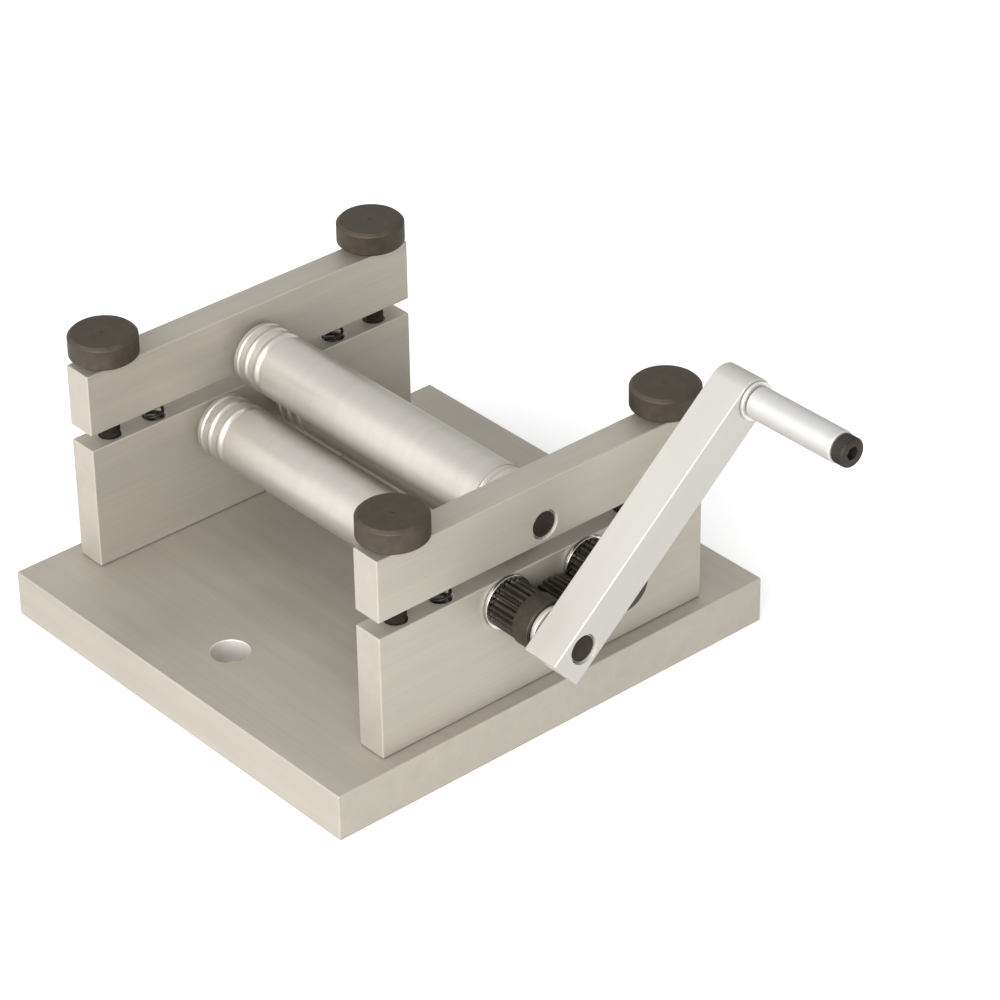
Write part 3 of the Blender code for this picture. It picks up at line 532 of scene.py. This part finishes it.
# Each roll is turned from one steel bar, with a journal and a shoulder at each end of its ground
# barrel. Three round grooves on the left bend wire, and a shallow one runs round near the right.
# The front roll's journal goes on through the crank arm and ends nearly flush with it.
journal_radius = 0.00555
roll_shoulder_radius = 0.00795
roll_edge = 0.0006
roll_radius = 0.0127
barrel_half = 0.0722
shoulder_half = 0.0759
groove_widths = (0.002, 0.0032, 0.0044)
first_groove_land = 0.0015
groove_land = 0.0023
groove_steps = 12
corner_steps = 4
roll_sides = 128
right_groove_start = 0.0643
right_groove_width = 0.003
right_groove_depth = 0.0007
front_end_reach = 0.0017
roll_dark = (0.426, 0.400, 0.366)
roll_light = (0.550, 0.523, 0.488)
end_shade_dark = (0.015, 0.012, 0.010)
end_shade_light = (0.042, 0.033, 0.027)


def ground_steel(name, dark, light, roughness, metallic=1.0):
    """Bright metal with the fine rings of a grinding wheel or a lathe tool round it."""
    finish = Finish(name, metallic, roughness)
    rings = finish.rings(scale=3200, detail=3.0)
    bands = finish.rings(scale=190, detail=2.0)
    handled = finish.noise(scale=45.0, detail=3.0)
    finish.colour(rings * 0.4 + bands * 0.5 + handled * 0.5 - 0.2, dark, light)
    finish.rough(rings * 0.14 + handled * 0.12 + (roughness - 0.13))
    finish.bump(rings * 0.7 + bands * 0.3, depth=0.00001)
    return finish


def roll_profile(left_end, right_end):
    """The roll's outline from its left journal's end to its right one's."""
    ring = 0.0005
    points = [
        (left_end, 0), (left_end, journal_radius - ring), (left_end + ring, journal_radius),
        (-shoulder_half, journal_radius), (-shoulder_half, roll_shoulder_radius - ring / 2),
        (-shoulder_half + ring / 2, roll_shoulder_radius), (-barrel_half, roll_shoulder_radius),
    ]
    left_corner = barrel_corner()
    points += left_corner
    start = -barrel_half + first_groove_land
    for width in groove_widths:
        points += groove(start, width, width / 2)
        start += width + groove_land
    points += groove(right_groove_start, right_groove_width, right_groove_depth)
    points += [(-along, radius) for along, radius in reversed(left_corner)]
    points += [
        (barrel_half, roll_shoulder_radius), (shoulder_half - ring / 2, roll_shoulder_radius),
        (shoulder_half, roll_shoulder_radius - ring / 2), (shoulder_half, journal_radius),
        (right_end - ring, journal_radius), (right_end, journal_radius - ring), (right_end, 0),
    ]
    return points


def barrel_corner():
    """A quarter round from the barrel's left end face up to its surface."""
    points = []
    for step in range(corner_steps + 1):
        turn = math.pi / 2 * step / corner_steps
        along = -barrel_half + roll_edge * (1 - math.cos(turn))
        points.append((along, roll_radius - roll_edge * (1 - math.sin(turn))))
    return points


def groove(start, width, depth):
    """A round groove in the barrel, from its left edge to its right one."""
    points = []
    for step in range(groove_steps + 1):
        turn = math.pi * step / groove_steps
        points.append((start + width / 2 * (1 - math.cos(turn)), roll_radius - depth * math.sin(turn)))
    return points


def ends_marked(shape, left_end, right_end):
    """Give the two end faces of a turned shape the second finish, for the rolls their painted shade."""
    near = 0.0001
    for face in shape.faces:
        along = face.calc_center_median().x
        if along < left_end + near or along > right_end - near:
            face.material_index = 1
    return shape


# The journals' end faces are coloured near black: painted shade for the recesses they sit in.
end_painted_shade = black_oxide("roll_end_painted_shade", end_shade_dark, end_shade_light, roughness=0.58)
roll_steel = ground_steel("roll_ground_steel", roll_dark, roll_light, roughness=0.38, metallic=0.75)
for end, body, reach in (("front", "crank", front_end_reach), ("rear", "back_roll", 0)):
    low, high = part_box(f"{end}_roll")
    centre = middle(f"{end}_roll")
    right_end = high.x + reach
    fitted(
        f"{end}_grooved_roll",
        ends_marked(turned(roll_profile(low.x, right_end), sides=roll_sides), low.x, right_end), roll_steel,
        body, [f"{end}_roll"], at=(0, centre.y, centre.z), cut_finish=end_painted_shade,
    )

# A flat washer of bright ground steel sits on the right-hand journal of each lower roll. It turns
# with the roll and keeps the gear off the side plate.
washer_edge = 0.0002
washer_dark = (0.56, 0.55, 0.52)
washer_light = (0.70, 0.69, 0.67)
washer_steel = ground_steel("washer_bright_steel", washer_dark, washer_light, roughness=0.22)


def turned_ring(name, node, inner, finish, body, edge=washer_edge):
    """Fit a plain turned ring where its node stands."""
    low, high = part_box(node)
    centre = (low + high) / 2
    outer = (high.z - low.z) / 2
    profile = [(low.x, inner), (low.x, outer), (high.x, outer), (high.x, inner)]
    shape = turned(profile, ease=edge, closed=True)
    fitted(name, shape, finish, body, [node], at=(0, centre.y, centre.z))


for end, body in (("front", "crank"), ("rear", "back_roll")):
    turned_ring(
        f"{end}_bright_washer", f"{end}_thrust_washer", bore_radius, washer_steel, body,
    )

# Each pinion is cut from one piece of dark oiled steel with its hub, and a set screw in the hub
# holds it on the roll's journal. A narrow groove lets the cutter run out between teeth and hub.
# The idler below and between them is a spur gear of the same steel, its outer face sunk round a boss.
gear_module = 0.00079375
pinion_teeth = 22
idler_teeth = 32
pressure_angle = math.radians(20)
tooth_foot = 1.25 * gear_module
tooth_fillet = 0.18 * gear_module
flank_steps = 6
backlash = 0.00016
gear_face = 0.0119
gear_groove = 0.0007
hub_radius = 0.0102
hub_edge = 0.0004
tooth_chamfer = 0.00035
gear_dark = (0.031, 0.025, 0.021)
gear_light = (0.079, 0.067, 0.056)


def involute(angle):
    return math.tan(angle) - angle


def tooth_outline(teeth, tooth_angle):
    """One turn of teeth as (radius, angle) points, a tooth centred on the angle from +Y to +Z."""
    pitch = gear_module * teeth / 2
    base = pitch * math.cos(pressure_angle)
    tip = pitch + gear_module
    root = pitch - tooth_foot
    half_tooth = (math.pi * gear_module / 2 - backlash) / 2 / pitch
    flank = []
    for step in range(flank_steps + 1):
        radius = root + (tip - root) * step / flank_steps
        reach = max(radius, base)
        half = half_tooth + involute(pressure_angle) - involute(math.acos(base / reach))
        fillet = tooth_fillet / root * (1 - min(1, step / 2)) ** 2
        flank.append((radius, half + fillet))
    outline = []
    for tooth in range(teeth):
        centre = tooth_angle + 2 * math.pi * tooth / teeth
        outline += [(radius, centre - half) for radius, half in flank]
        outline += [(radius, centre + half) for radius, half in reversed(flank)]
    return outline


def tooth_ring(outline, along, limit):
    """The outline's points at one place along X, held within a radius."""
    points = []
    for radius, turn in outline:
        reach = min(radius, limit)
        points.append(Vector((along, reach * math.cos(turn), reach * math.sin(turn))))
    return points


def round_ring(outline, along, radius):
    """A round ring of as many points as the toothed ones, so that it joins on to them."""
    return [Vector((along, radius * math.cos(turn), radius * math.sin(turn))) for _, turn in outline]


def tooth_rings(outline, start, stop, tip):
    """The rings of a toothed stretch, its tips chamfered at both ends."""
    return [
        tooth_ring(outline, start, tip - tooth_chamfer),
        tooth_ring(outline, start + tooth_chamfer, tip),
        tooth_ring(outline, stop - tooth_chamfer, tip),
        tooth_ring(outline, stop, tip - tooth_chamfer),
    ]


def pinion_tooth_angle(y):
    """The pinion's tooth place that meshes with the idler, whose first tooth points straight up."""
    drop = roll_centres[0].z - idler_centre.z
    mesh_line = math.atan2(drop, y)
    beyond = (math.pi / 2 - mesh_line) % (2 * math.pi / idler_teeth)
    return mesh_line + math.pi - beyond * idler_teeth / pinion_teeth + math.pi / pinion_teeth


set_screw_radius = 0.002
set_screw_edge = 0.0003
set_screw_sides = 40
set_screw_hole_radius = 0.0023
set_screw_sunk = 0.0006
set_screw_angle = math.radians(-60)
set_screw_socket_width = 0.002
set_screw_socket_depth = 0.0014


def set_screw(name, node, start, stop, place, body, at, turn=(0, 0, 0)):
    """A headless screw with a hexagon socket, from start to stop along its placing."""
    edge = set_screw_edge
    shape = turned(
        [
            (start, 0), (start, set_screw_radius - edge), (start + edge, set_screw_radius),
            (stop - edge, set_screw_radius), (stop, set_screw_radius - edge), (stop, 0),
        ],
        sides=set_screw_sides,
    )
    socket = hexagon_cutter(
        set_screw_socket_width, stop - set_screw_socket_depth, set_screw_socket_depth + overrun,
    )
    shape = placed(drilled(shape, [socket]), place)
    fitted(name, shape, screw_black, body, [node], at=at, turn=turn)


gear_steel = black_oxide("gear_oiled_steel", gear_dark, gear_light, roughness=0.36)
pinion_tip = gear_module * (pinion_teeth / 2 + 1)
pinion_groove_radius = gear_module * (pinion_teeth / 2 - 1.5)
for end, body in (("front", "crank"), ("rear", "back_roll")):
    low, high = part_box(f"{end}_pinion")
    centre = middle(f"{end}_roll")
    face_end = low.x + gear_face
    hub_start = face_end + gear_groove
    outline = tooth_outline(pinion_teeth, pinion_tooth_angle(centre.y))
    edge = hub_edge
    dip = hub_edge * 0.3
    rings = [round_ring(outline, low.x, bore_radius + bore_mouth)]
    rings += tooth_rings(outline, low.x, face_end, pinion_tip)
    for along, radius in (
        (face_end, pinion_groove_radius), (hub_start, pinion_groove_radius),
        (hub_start, hub_radius - edge), (hub_start + dip, hub_radius - dip),
        (hub_start + edge, hub_radius), (high.x - edge, hub_radius),
        (high.x - dip, hub_radius - dip), (high.x, hub_radius - edge),
        (high.x, bore_radius + bore_mouth), (high.x - bore_mouth, bore_radius),
        (low.x + bore_mouth, bore_radius),
    ):
        rings.append(round_ring(outline, along, radius))
    outward = Vector((0, math.cos(set_screw_angle), math.sin(set_screw_angle)))
    across = facing(outward, ((hub_start + high.x) / 2, 0, 0))
    hole = blind(journal_radius, hub_radius, set_screw_hole_radius, sides=set_screw_sides)
    fitted(
        f"{end}_pinion_with_hub", drilled(skin(rings, closed=True), [placed(hole, across)]), gear_steel,
        body, [f"{end}_pinion"], at=(0, centre.y, centre.z),
    )
    set_screw(
        f"{end}_hub_set_screw", f"{end}_pinion_set_screw", bore_radius, hub_radius - set_screw_sunk,
        across, body, (0, centre.y, centre.z),
    )

idler_bore_radius = 0.0043
idler_boss_radius = 0.0088
idler_web_depth = 0.0012
idler_tip = gear_module * (idler_teeth / 2 + 1)
idler_rim_radius = gear_module * (idler_teeth / 2 - 2.6)
low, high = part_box("idler_gear")
outline = tooth_outline(idler_teeth, math.pi / 2)
rings = [round_ring(outline, low.x, idler_bore_radius)]
rings += tooth_rings(outline, low.x, high.x, idler_tip)
for along, radius in (
    (high.x, idler_rim_radius), (high.x - idler_web_depth, idler_rim_radius - idler_web_depth / 2),
    (high.x - idler_web_depth, idler_boss_radius), (high.x, idler_boss_radius),
    (high.x, idler_bore_radius),
):
    rings.append(round_ring(outline, along, radius))
fitted(
    "idler_spur_gear", skin(rings, closed=True), gear_steel, "idler", ["idler_gear"],
    at=(0, idler_centre.y, idler_centre.z),
)
turned_ring(
    "idler_bright_washer", "idler_washer", idler_bore_radius, washer_steel, "base_frame",
)

# The idler turns on a shoulder screw of blackened steel, with a low round head and a hexagon
# socket. Its thinner thread goes into a tapped hole in the right-hand side plate.
idler_thread_tip = 0.0004
idler_shoulder_radius = 0.004
idler_head_radius = 0.006
idler_head_height = 0.0035
idler_socket_width = 0.004
idler_socket_depth = 0.002
low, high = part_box("idler_shoulder_screw")
shoulder_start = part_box("idler_washer")[0].x
seat = high.x - idler_head_height
shape = turned([
    (low.x, 0), (low.x, idler_thread_radius - idler_thread_tip),
    (low.x + idler_thread_tip, idler_thread_radius),
    (shoulder_start, idler_thread_radius), (shoulder_start, idler_shoulder_radius),
    (seat, idler_shoulder_radius), (seat, idler_head_radius - head_edge),
    (seat + head_edge, idler_head_radius), (high.x - head_edge, idler_head_radius),
    (high.x, idler_head_radius - head_edge), (high.x, 0),
])
socket = hexagon_cutter(idler_socket_width, high.x - idler_socket_depth, idler_socket_depth + overrun)
fitted(
    "idler_shoulder_bolt", drilled(shape, [socket]), screw_black, "base_frame",
    ["idler_shoulder_screw"], at=(0, idler_centre.y, idler_centre.z),
)

# The crank arm is a square aluminium bar with one round end. Its square foot is bored for the
# front roll's journal and held by a set screw, and a turned spacer keeps it off the hub.
arm_width = 0.015875
arm_foot = 0.0113
arm_centres = 0.1048
arm_angle = math.radians(40.5)
arm_edge = 0.0006
arm_edge_steps = 3
arm_end_steps = 40
handle_hole_radius = 0.003475
crank_light = (0.502, 0.485, 0.459)
crank_dark = (0.457, 0.436, 0.409)
turned_light = (0.76, 0.74, 0.70)
turned_dark = (0.60, 0.58, 0.55)
crank_metal = milled(
    "crank_bright_aluminium", grain=1, dark=crank_dark, light=crank_light, roughness=0.50,
)
crank_turned = ground_steel(
    "crank_turned_aluminium", turned_dark, turned_light, roughness=0.40, metallic=0.8,
)
crank_centre = (0, roll_centres[0].y, roll_centres[0].z)
arm_low, arm_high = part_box("crank_arm")
turned_ring("crank_ring_spacer", "crank_spacer", bore_radius, crank_turned, "crank")


def arm_ring(along, inset):
    """The arm's outline along its own length, drawn in by the inset."""
    half = arm_width / 2 - inset
    foot = -arm_foot + inset
    corner = arm_edge * 0.8
    dip = corner * 0.25
    points = [
        (foot + corner, half), (foot + dip, half - dip), (foot, half - corner),
        (foot, -half + corner), (foot + dip, -half + dip), (foot + corner, -half),
    ]
    for step in range(arm_end_steps + 1):
        turn = math.pi * (step / arm_end_steps - 1 / 2)
        points.append((arm_centres + half * math.cos(turn), half * math.sin(turn)))
    return [Vector((along, y, z)) for y, z in points]


edge_turns = [math.pi / 2 * step / arm_edge_steps for step in range(arm_edge_steps + 1)]
rings = [
    arm_ring(arm_low.x + arm_edge * (1 - math.sin(turn)), arm_edge * (1 - math.cos(turn)))
    for turn in reversed(edge_turns)
]
rings += [
    arm_ring(arm_high.x - arm_edge * (1 - math.sin(turn)), arm_edge * (1 - math.cos(turn)))
    for turn in edge_turns
]
foot_place = facing((0, -1, 0), ((arm_low.x + arm_high.x) / 2, 0, 0))
handle_screw_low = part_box("handle_screw")[0]
shaft_hole = through(arm_low.x, arm_high.x, bore_radius, bore_mouth)
handle_hole = blind(handle_screw_low.x - clearance, arm_high.x, handle_hole_radius)
foot_hole = blind(journal_radius, arm_foot, set_screw_hole_radius, sides=set_screw_sides)
arm_holes = [
    shaft_hole, placed(handle_hole, Matrix.Translation((0, arm_centres, 0))),
    placed(foot_hole, foot_place),
]
fitted(
    "square_crank_arm", drilled(skin(rings), arm_holes), crank_metal, "crank",
    ["crank_arm"], at=crank_centre, turn=(arm_angle, 0, 0), cut_finish=bore_metal_painted_lit,
)
set_screw(
    "crank_foot_set_screw", "crank_set_screw", bore_radius, arm_foot - set_screw_sunk, foot_place,
    "crank", crank_centre, (arm_angle, 0, 0),
)

# The handle is a plain turned aluminium sleeve. It spins on a black socket head screw that goes
# through it into the arm, with a washer against the arm.
handle_centre = middle("handle_grip")
handle_screw_radius = 0.003175
handle_head_radius = 0.0056
handle_head_height = 0.005
handle_socket_width = 0.00476
handle_socket_depth = 0.0028
grip_edge = 0.0007
grip_light = (0.549, 0.540, 0.526)
grip_dark = (0.509, 0.498, 0.481)
turned_ring(
    "handle_flat_washer", "handle_washer", handle_hole_radius, crank_turned, "crank",
)
grip_metal = ground_steel(
    "handle_turned_aluminium", grip_dark, grip_light, roughness=0.50, metallic=0.6,
)
turned_ring(
    "handle_sleeve", "handle_grip", handle_hole_radius, grip_metal, "handle",
    edge=grip_edge,
)
low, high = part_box("handle_screw")
seat = high.x - handle_head_height
fitted(
    "handle_cap_screw",
    cap_screw(
        handle_head_radius, handle_head_height, handle_screw_radius, seat - low.x,
        handle_socket_width, handle_socket_depth,
    ),
    screw_black, "crank", ["handle_screw"],
    at=(seat, handle_centre.y, handle_centre.z),
)

# Two upper bars carry the upper roll. Each is a length of the same bar stock, with a bore for
# the roll's journal, a clear hole for each thumbscrew and a spring pocket over each one below.
bar_stud_hole_radius = 0.00437
upper_centre = middle("upper_roll")
for side in sides:
    low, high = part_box(f"upper_bar_{side}")
    holes = [placed(
        through(low.x, high.x, bore_radius, bore_mouth),
        Matrix.Translation((0, upper_centre.y, upper_centre.z)),
    )]
    for end in ends:
        stud = middle(f"thumb_stud_{side}_{end}")
        hole = through(low.z, high.z, bar_stud_hole_radius)
        holes.append(placed(hole, facing(up, (stud.x, stud.y, 0))))
        spring = middle(f"lift_spring_{side}_{end}")
        hole = blind(-low.z - spring_pocket_depth, -low.z, spring_pocket_radius)
        holes.append(placed(hole, facing((0, 0, -1), (spring.x, spring.y, 0))))
    fitted(
        f"upper_roll_bar_{side}", drilled(block(low, high, plate_edge), holes), plate_metal,
        "upper_frame", [f"upper_bar_{side}"], cut_finish=bore_metal_painted_lit,
    )

# The upper roll is turned and ground from steel bar like the lower ones, with the same grooves.
# It turns freely in the upper bars, and its right-hand journal ends nearly flush with its bar.
upper_end_reach = 0.0008
low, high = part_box("upper_roll")
right_end = high.x + upper_end_reach
# Its end faces take the same painted shade as the lower rolls' ends.
fitted(
    "upper_grooved_roll",
    ends_marked(turned(roll_profile(low.x, right_end), sides=roll_sides), low.x, right_end), roll_steel,
    "top_roll", ["upper_roll"], at=(0, upper_centre.y, upper_centre.z),
    cut_finish=end_painted_shade,
)

# Four coil springs of blackened steel wire stand in the pockets between the lower plates and the
# upper bars. Their end turns are closed.
wire_radius = 0.00065
spring_radius = 0.0035
spring_turns = 7
closed_turns = 1
spring_steps = 28
wire_sides = 12
wire_dark = (0.014, 0.012, 0.011)
wire_light = (0.045, 0.038, 0.033)
spring_black = black_oxide("spring_black_wire", wire_dark, wire_light, roughness=0.34)


def spring_height(turns, low, high):
    """How high the wire has climbed after so many turns, closed at both ends."""
    closed_pitch = wire_radius * 2.04
    bottom = low + wire_radius
    open_rise = high - low - 2 * wire_radius - 2 * closed_turns * closed_pitch
    open_turns = spring_turns - 2 * closed_turns
    if turns < closed_turns:
        return bottom + closed_pitch * turns
    if turns > spring_turns - closed_turns:
        return high - wire_radius - closed_pitch * (spring_turns - turns)
    return bottom + closed_turns * closed_pitch + open_rise * (turns - closed_turns) / open_turns


for corner in corners:
    node = f"lift_spring_{corner}"
    low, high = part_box(node)
    centre = (low + high) / 2
    rings = []
    for step in range(spring_turns * spring_steps + 1):
        turns = step / spring_steps
        angle = 2 * math.pi * turns
        outward = Vector((math.cos(angle), math.sin(angle), 0))
        core = Vector((centre.x, centre.y, spring_height(turns, low.z, high.z))) + outward * spring_radius
        ring = []
        for side_step in range(wire_sides):
            turn = 2 * math.pi * side_step / wire_sides
            ring.append(
                core + outward * wire_radius * math.cos(turn) + Vector(up) * wire_radius * math.sin(turn)
            )
        rings.append(ring)
    spring = fitted(f"coil_spring_{corner}", skin(rings), spring_black, None, [node])
    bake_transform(spring)

# Each thumbscrew is a knob turned from steel bar and blackened, on a stud with a coarse thread.
# The knob's neck bears on the upper bar, and the stud screws into the lower plate.
knob_radius = 0.0132
knob_neck_radius = 0.008
knob_neck_height = 0.0021
knob_top_edge = 0.0013
knob_foot_edge = 0.0008
knob_ease = 0.0003
knob_socket_depth = 0.0065
knob_dimple_radius = 0.0013
knob_dimple_depth = 0.0008
stud_radius = 0.00397
thread_pitch = 0.001411
thread_depth = 0.0008
thread_sides = 48
knob_dark = (0.042, 0.034, 0.026)
knob_light = (0.082, 0.067, 0.051)


def thread(radius, start, stop):
    """A right-hand thread round the X axis, fading out at both ends."""
    ridge = [(0.0, radius - thread_depth), (0.4, radius), (0.55, radius), (0.95, radius - thread_depth)]
    rows = (math.ceil((stop - start) / thread_pitch) + 2) * len(ridge)
    shape = bmesh.new()
    laid = []
    for row in range(rows + len(ridge)):
        share, reach = ridge[row % len(ridge)]
        line = []
        for step in range(thread_sides):
            turn = 2 * math.pi * step / thread_sides
            along = start + thread_pitch * (row // len(ridge) - 1 + share + step / thread_sides)
            held = min(max(along, start), stop)
            reach_here = reach if held == along else radius - thread_depth
            line.append(shape.verts.new((held, reach_here * math.cos(turn), reach_here * math.sin(turn))))
        laid.append(line)
    for row in range(rows - 1):
        for step in range(thread_sides):
            if step + 1 < thread_sides:
                one, other = laid[row][step + 1], laid[row + 1][step + 1]
            else:
                one, other = laid[row + len(ridge)][0], laid[row + 1 + len(ridge)][0]
            shape.faces.new((laid[row][step], one, other, laid[row + 1][step]))
    for vertex in [vertex for vertex in shape.verts if not vertex.link_faces]:
        shape.verts.remove(vertex)
    tidied(shape)
    edges = [edge for edge in shape.edges if edge.is_boundary]
    bmesh.ops.holes_fill(shape, edges=edges, sides=0)
    bmesh.ops.recalc_face_normals(shape, faces=shape.faces)
    return shape


knob_black = black_oxide(
    "knob_black_oxide", knob_dark, knob_light, roughness=0.50, ring_depth=0.000014,
)
stud_black = black_oxide("stud_black_steel", oxide_dark, oxide_light, roughness=0.36)
for corner in corners:
    body = f"thumbscrew_{corner}"
    low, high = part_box(f"thumb_knob_{corner}")
    centre = (low + high) / 2
    foot = knob_neck_height
    top = high.z - low.z
    profile = eased([
        (0, stud_hole_radius), (0, knob_neck_radius), (foot, knob_neck_radius),
        (foot, knob_radius - knob_foot_edge), (foot + knob_foot_edge, knob_radius),
        (top - knob_top_edge, knob_radius), (top, knob_radius - knob_top_edge),
        (top, knob_dimple_radius), (top - knob_dimple_depth, 0),
    ], knob_ease)
    profile = [(knob_socket_depth, 0), (knob_socket_depth, stud_hole_radius)] + profile
    fitted(
        f"turned_thumb_knob_{corner}", turned(profile), knob_black, body,
        [f"thumb_knob_{corner}"], at=(centre.x, centre.y, low.z), turn=(0, -math.pi / 2, 0),
    )
    low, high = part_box(f"thumb_stud_{corner}")
    centre = (low + high) / 2
    fitted(
        f"threaded_stud_{corner}", thread(stud_radius, 0, high.z - low.z), stud_black, body,
        [f"thumb_stud_{corner}"], at=(centre.x, centre.y, low.z), turn=(0, -math.pi / 2, 0),
    )

# The stage is a plain white floor under a white sky. Both look white wherever they are seen,
# straight or in a reflection, and light the object less. Three square soft lamps stand in front
# of it, and the two on the right are the stronger ones.
floor_half = 6.0
floor_gap = 0.0002
floor_white = (0.80, 0.80, 0.80, 1)
glow_near = 0.28
glow_rise = 0.9
glow_most = 0.65
sky_white = (1, 1, 1, 1)
sky_light = 0.50
sky_seen = 1.0
lamp_aim = Vector((0, 0, 0.05))
floor_mesh = bmesh.new()
bmesh.ops.create_grid(floor_mesh, x_segments=1, y_segments=1, size=floor_half)
floor_data = bpy.data.meshes.new("floor")
floor_mesh.to_mesh(floor_data)
floor_mesh.free()
floor = bpy.data.objects.new("floor", floor_data)
bpy.context.scene.collection.objects.link(floor)
floor.location.z = base_low.z - floor_gap


def seen(shading):
    """One where the camera sees a place straight, in a reflection or through glass."""
    camera_ray, glossy_ray, through_ray = [
        shading.node("ShaderNodeLightPath", {}, {}, output)
        for output in ("Is Camera Ray", "Is Glossy Ray", "Is Transmission Ray")
    ]
    return shading.node(
        "ShaderNodeMath", {"operation": "ADD", "use_clamp": True},
        {0: camera_ray + glossy_ray, 1: through_ray},
    )


floor_paint = Finish("white_floor", metallic=0.0, roughness=1.0)
floor_paint.put(floor_paint.shader.inputs["Base Color"], floor_white)
floor_paint.put(floor_paint.shader.inputs["Specular IOR Level"], 0.0)
distance = floor_paint.node(
    "ShaderNodeVectorMath", {"operation": "LENGTH"}, {0: floor_paint.place}, "Value",
)
glow = floor_paint.node(
    "ShaderNodeMath", {"operation": "MINIMUM"}, {0: distance * glow_rise + glow_near, 1: glow_most},
)
floor_paint.put(floor_paint.shader.inputs["Emission Color"], seen(floor_paint) * glow)
floor_paint.put(floor_paint.shader.inputs["Emission Strength"], 1.0)
floor_data.materials.append(floor_paint.material)

world = bpy.data.worlds.new("white_studio")
bpy.context.scene.world = world
world.use_nodes = True
sky = Shading(world.node_tree)
background = sky.tree.nodes["Background"]
sky.put(background.inputs["Color"], sky_white)
sky_strength = sky.node("ShaderNodeMix", {}, {0: seen(sky), 2: sky_light, 3: sky_seen})
sky.put(background.inputs["Strength"], sky_strength)


def softbox(name, place, size, power):
    """A square lamp that faces the object."""
    lamp = bpy.data.lights.new(name, "AREA")
    lamp.shape = "SQUARE"
    lamp.size = size
    lamp.energy = power
    stand = bpy.data.objects.new(name, lamp)
    bpy.context.scene.collection.objects.link(stand)
    stand.location = place
    stand.rotation_euler = (lamp_aim - Vector(place)).to_track_quat("-Z", "Y").to_euler()


softbox("left_softbox", place=(-0.75, -2.40, 1.35), size=2.4, power=27.0)
softbox("front_softbox", place=(0.90, -2.40, 1.05), size=1.8, power=66.0)
softbox("right_softbox", place=(1.95, -1.35, 1.05), size=1.8, power=47.0)

# The camera stands where the photograph was taken from, to the right of the front and above.
# It looks through a long lens, rolled a little, whose shift sets the object's place in the frame.
camera_place = Vector((0.9769, -0.78558, 0.84886))
camera_aim = Vector((-0.64134, 0.54424, -0.54082))
camera_roll = math.radians(1.0807)
camera_data = bpy.data.cameras.new("photograph_view")
camera_data.sensor_width = 36.0
camera_data.lens = 144.9
camera_data.shift_x = 0.0247
camera_data.shift_y = 0.0187
camera = bpy.data.objects.new("photograph_view", camera_data)
bpy.context.scene.collection.objects.link(camera)
camera.location = camera_place
camera.rotation_mode = "QUATERNION"
level_view = camera_aim.to_track_quat("-Z", "Y")
camera.rotation_quaternion = level_view @ Matrix.Rotation(-camera_roll, 4, "Z").to_quaternion()
bpy.context.scene.camera = camera
bpy.context.scene.view_settings.view_transform = "Standard"
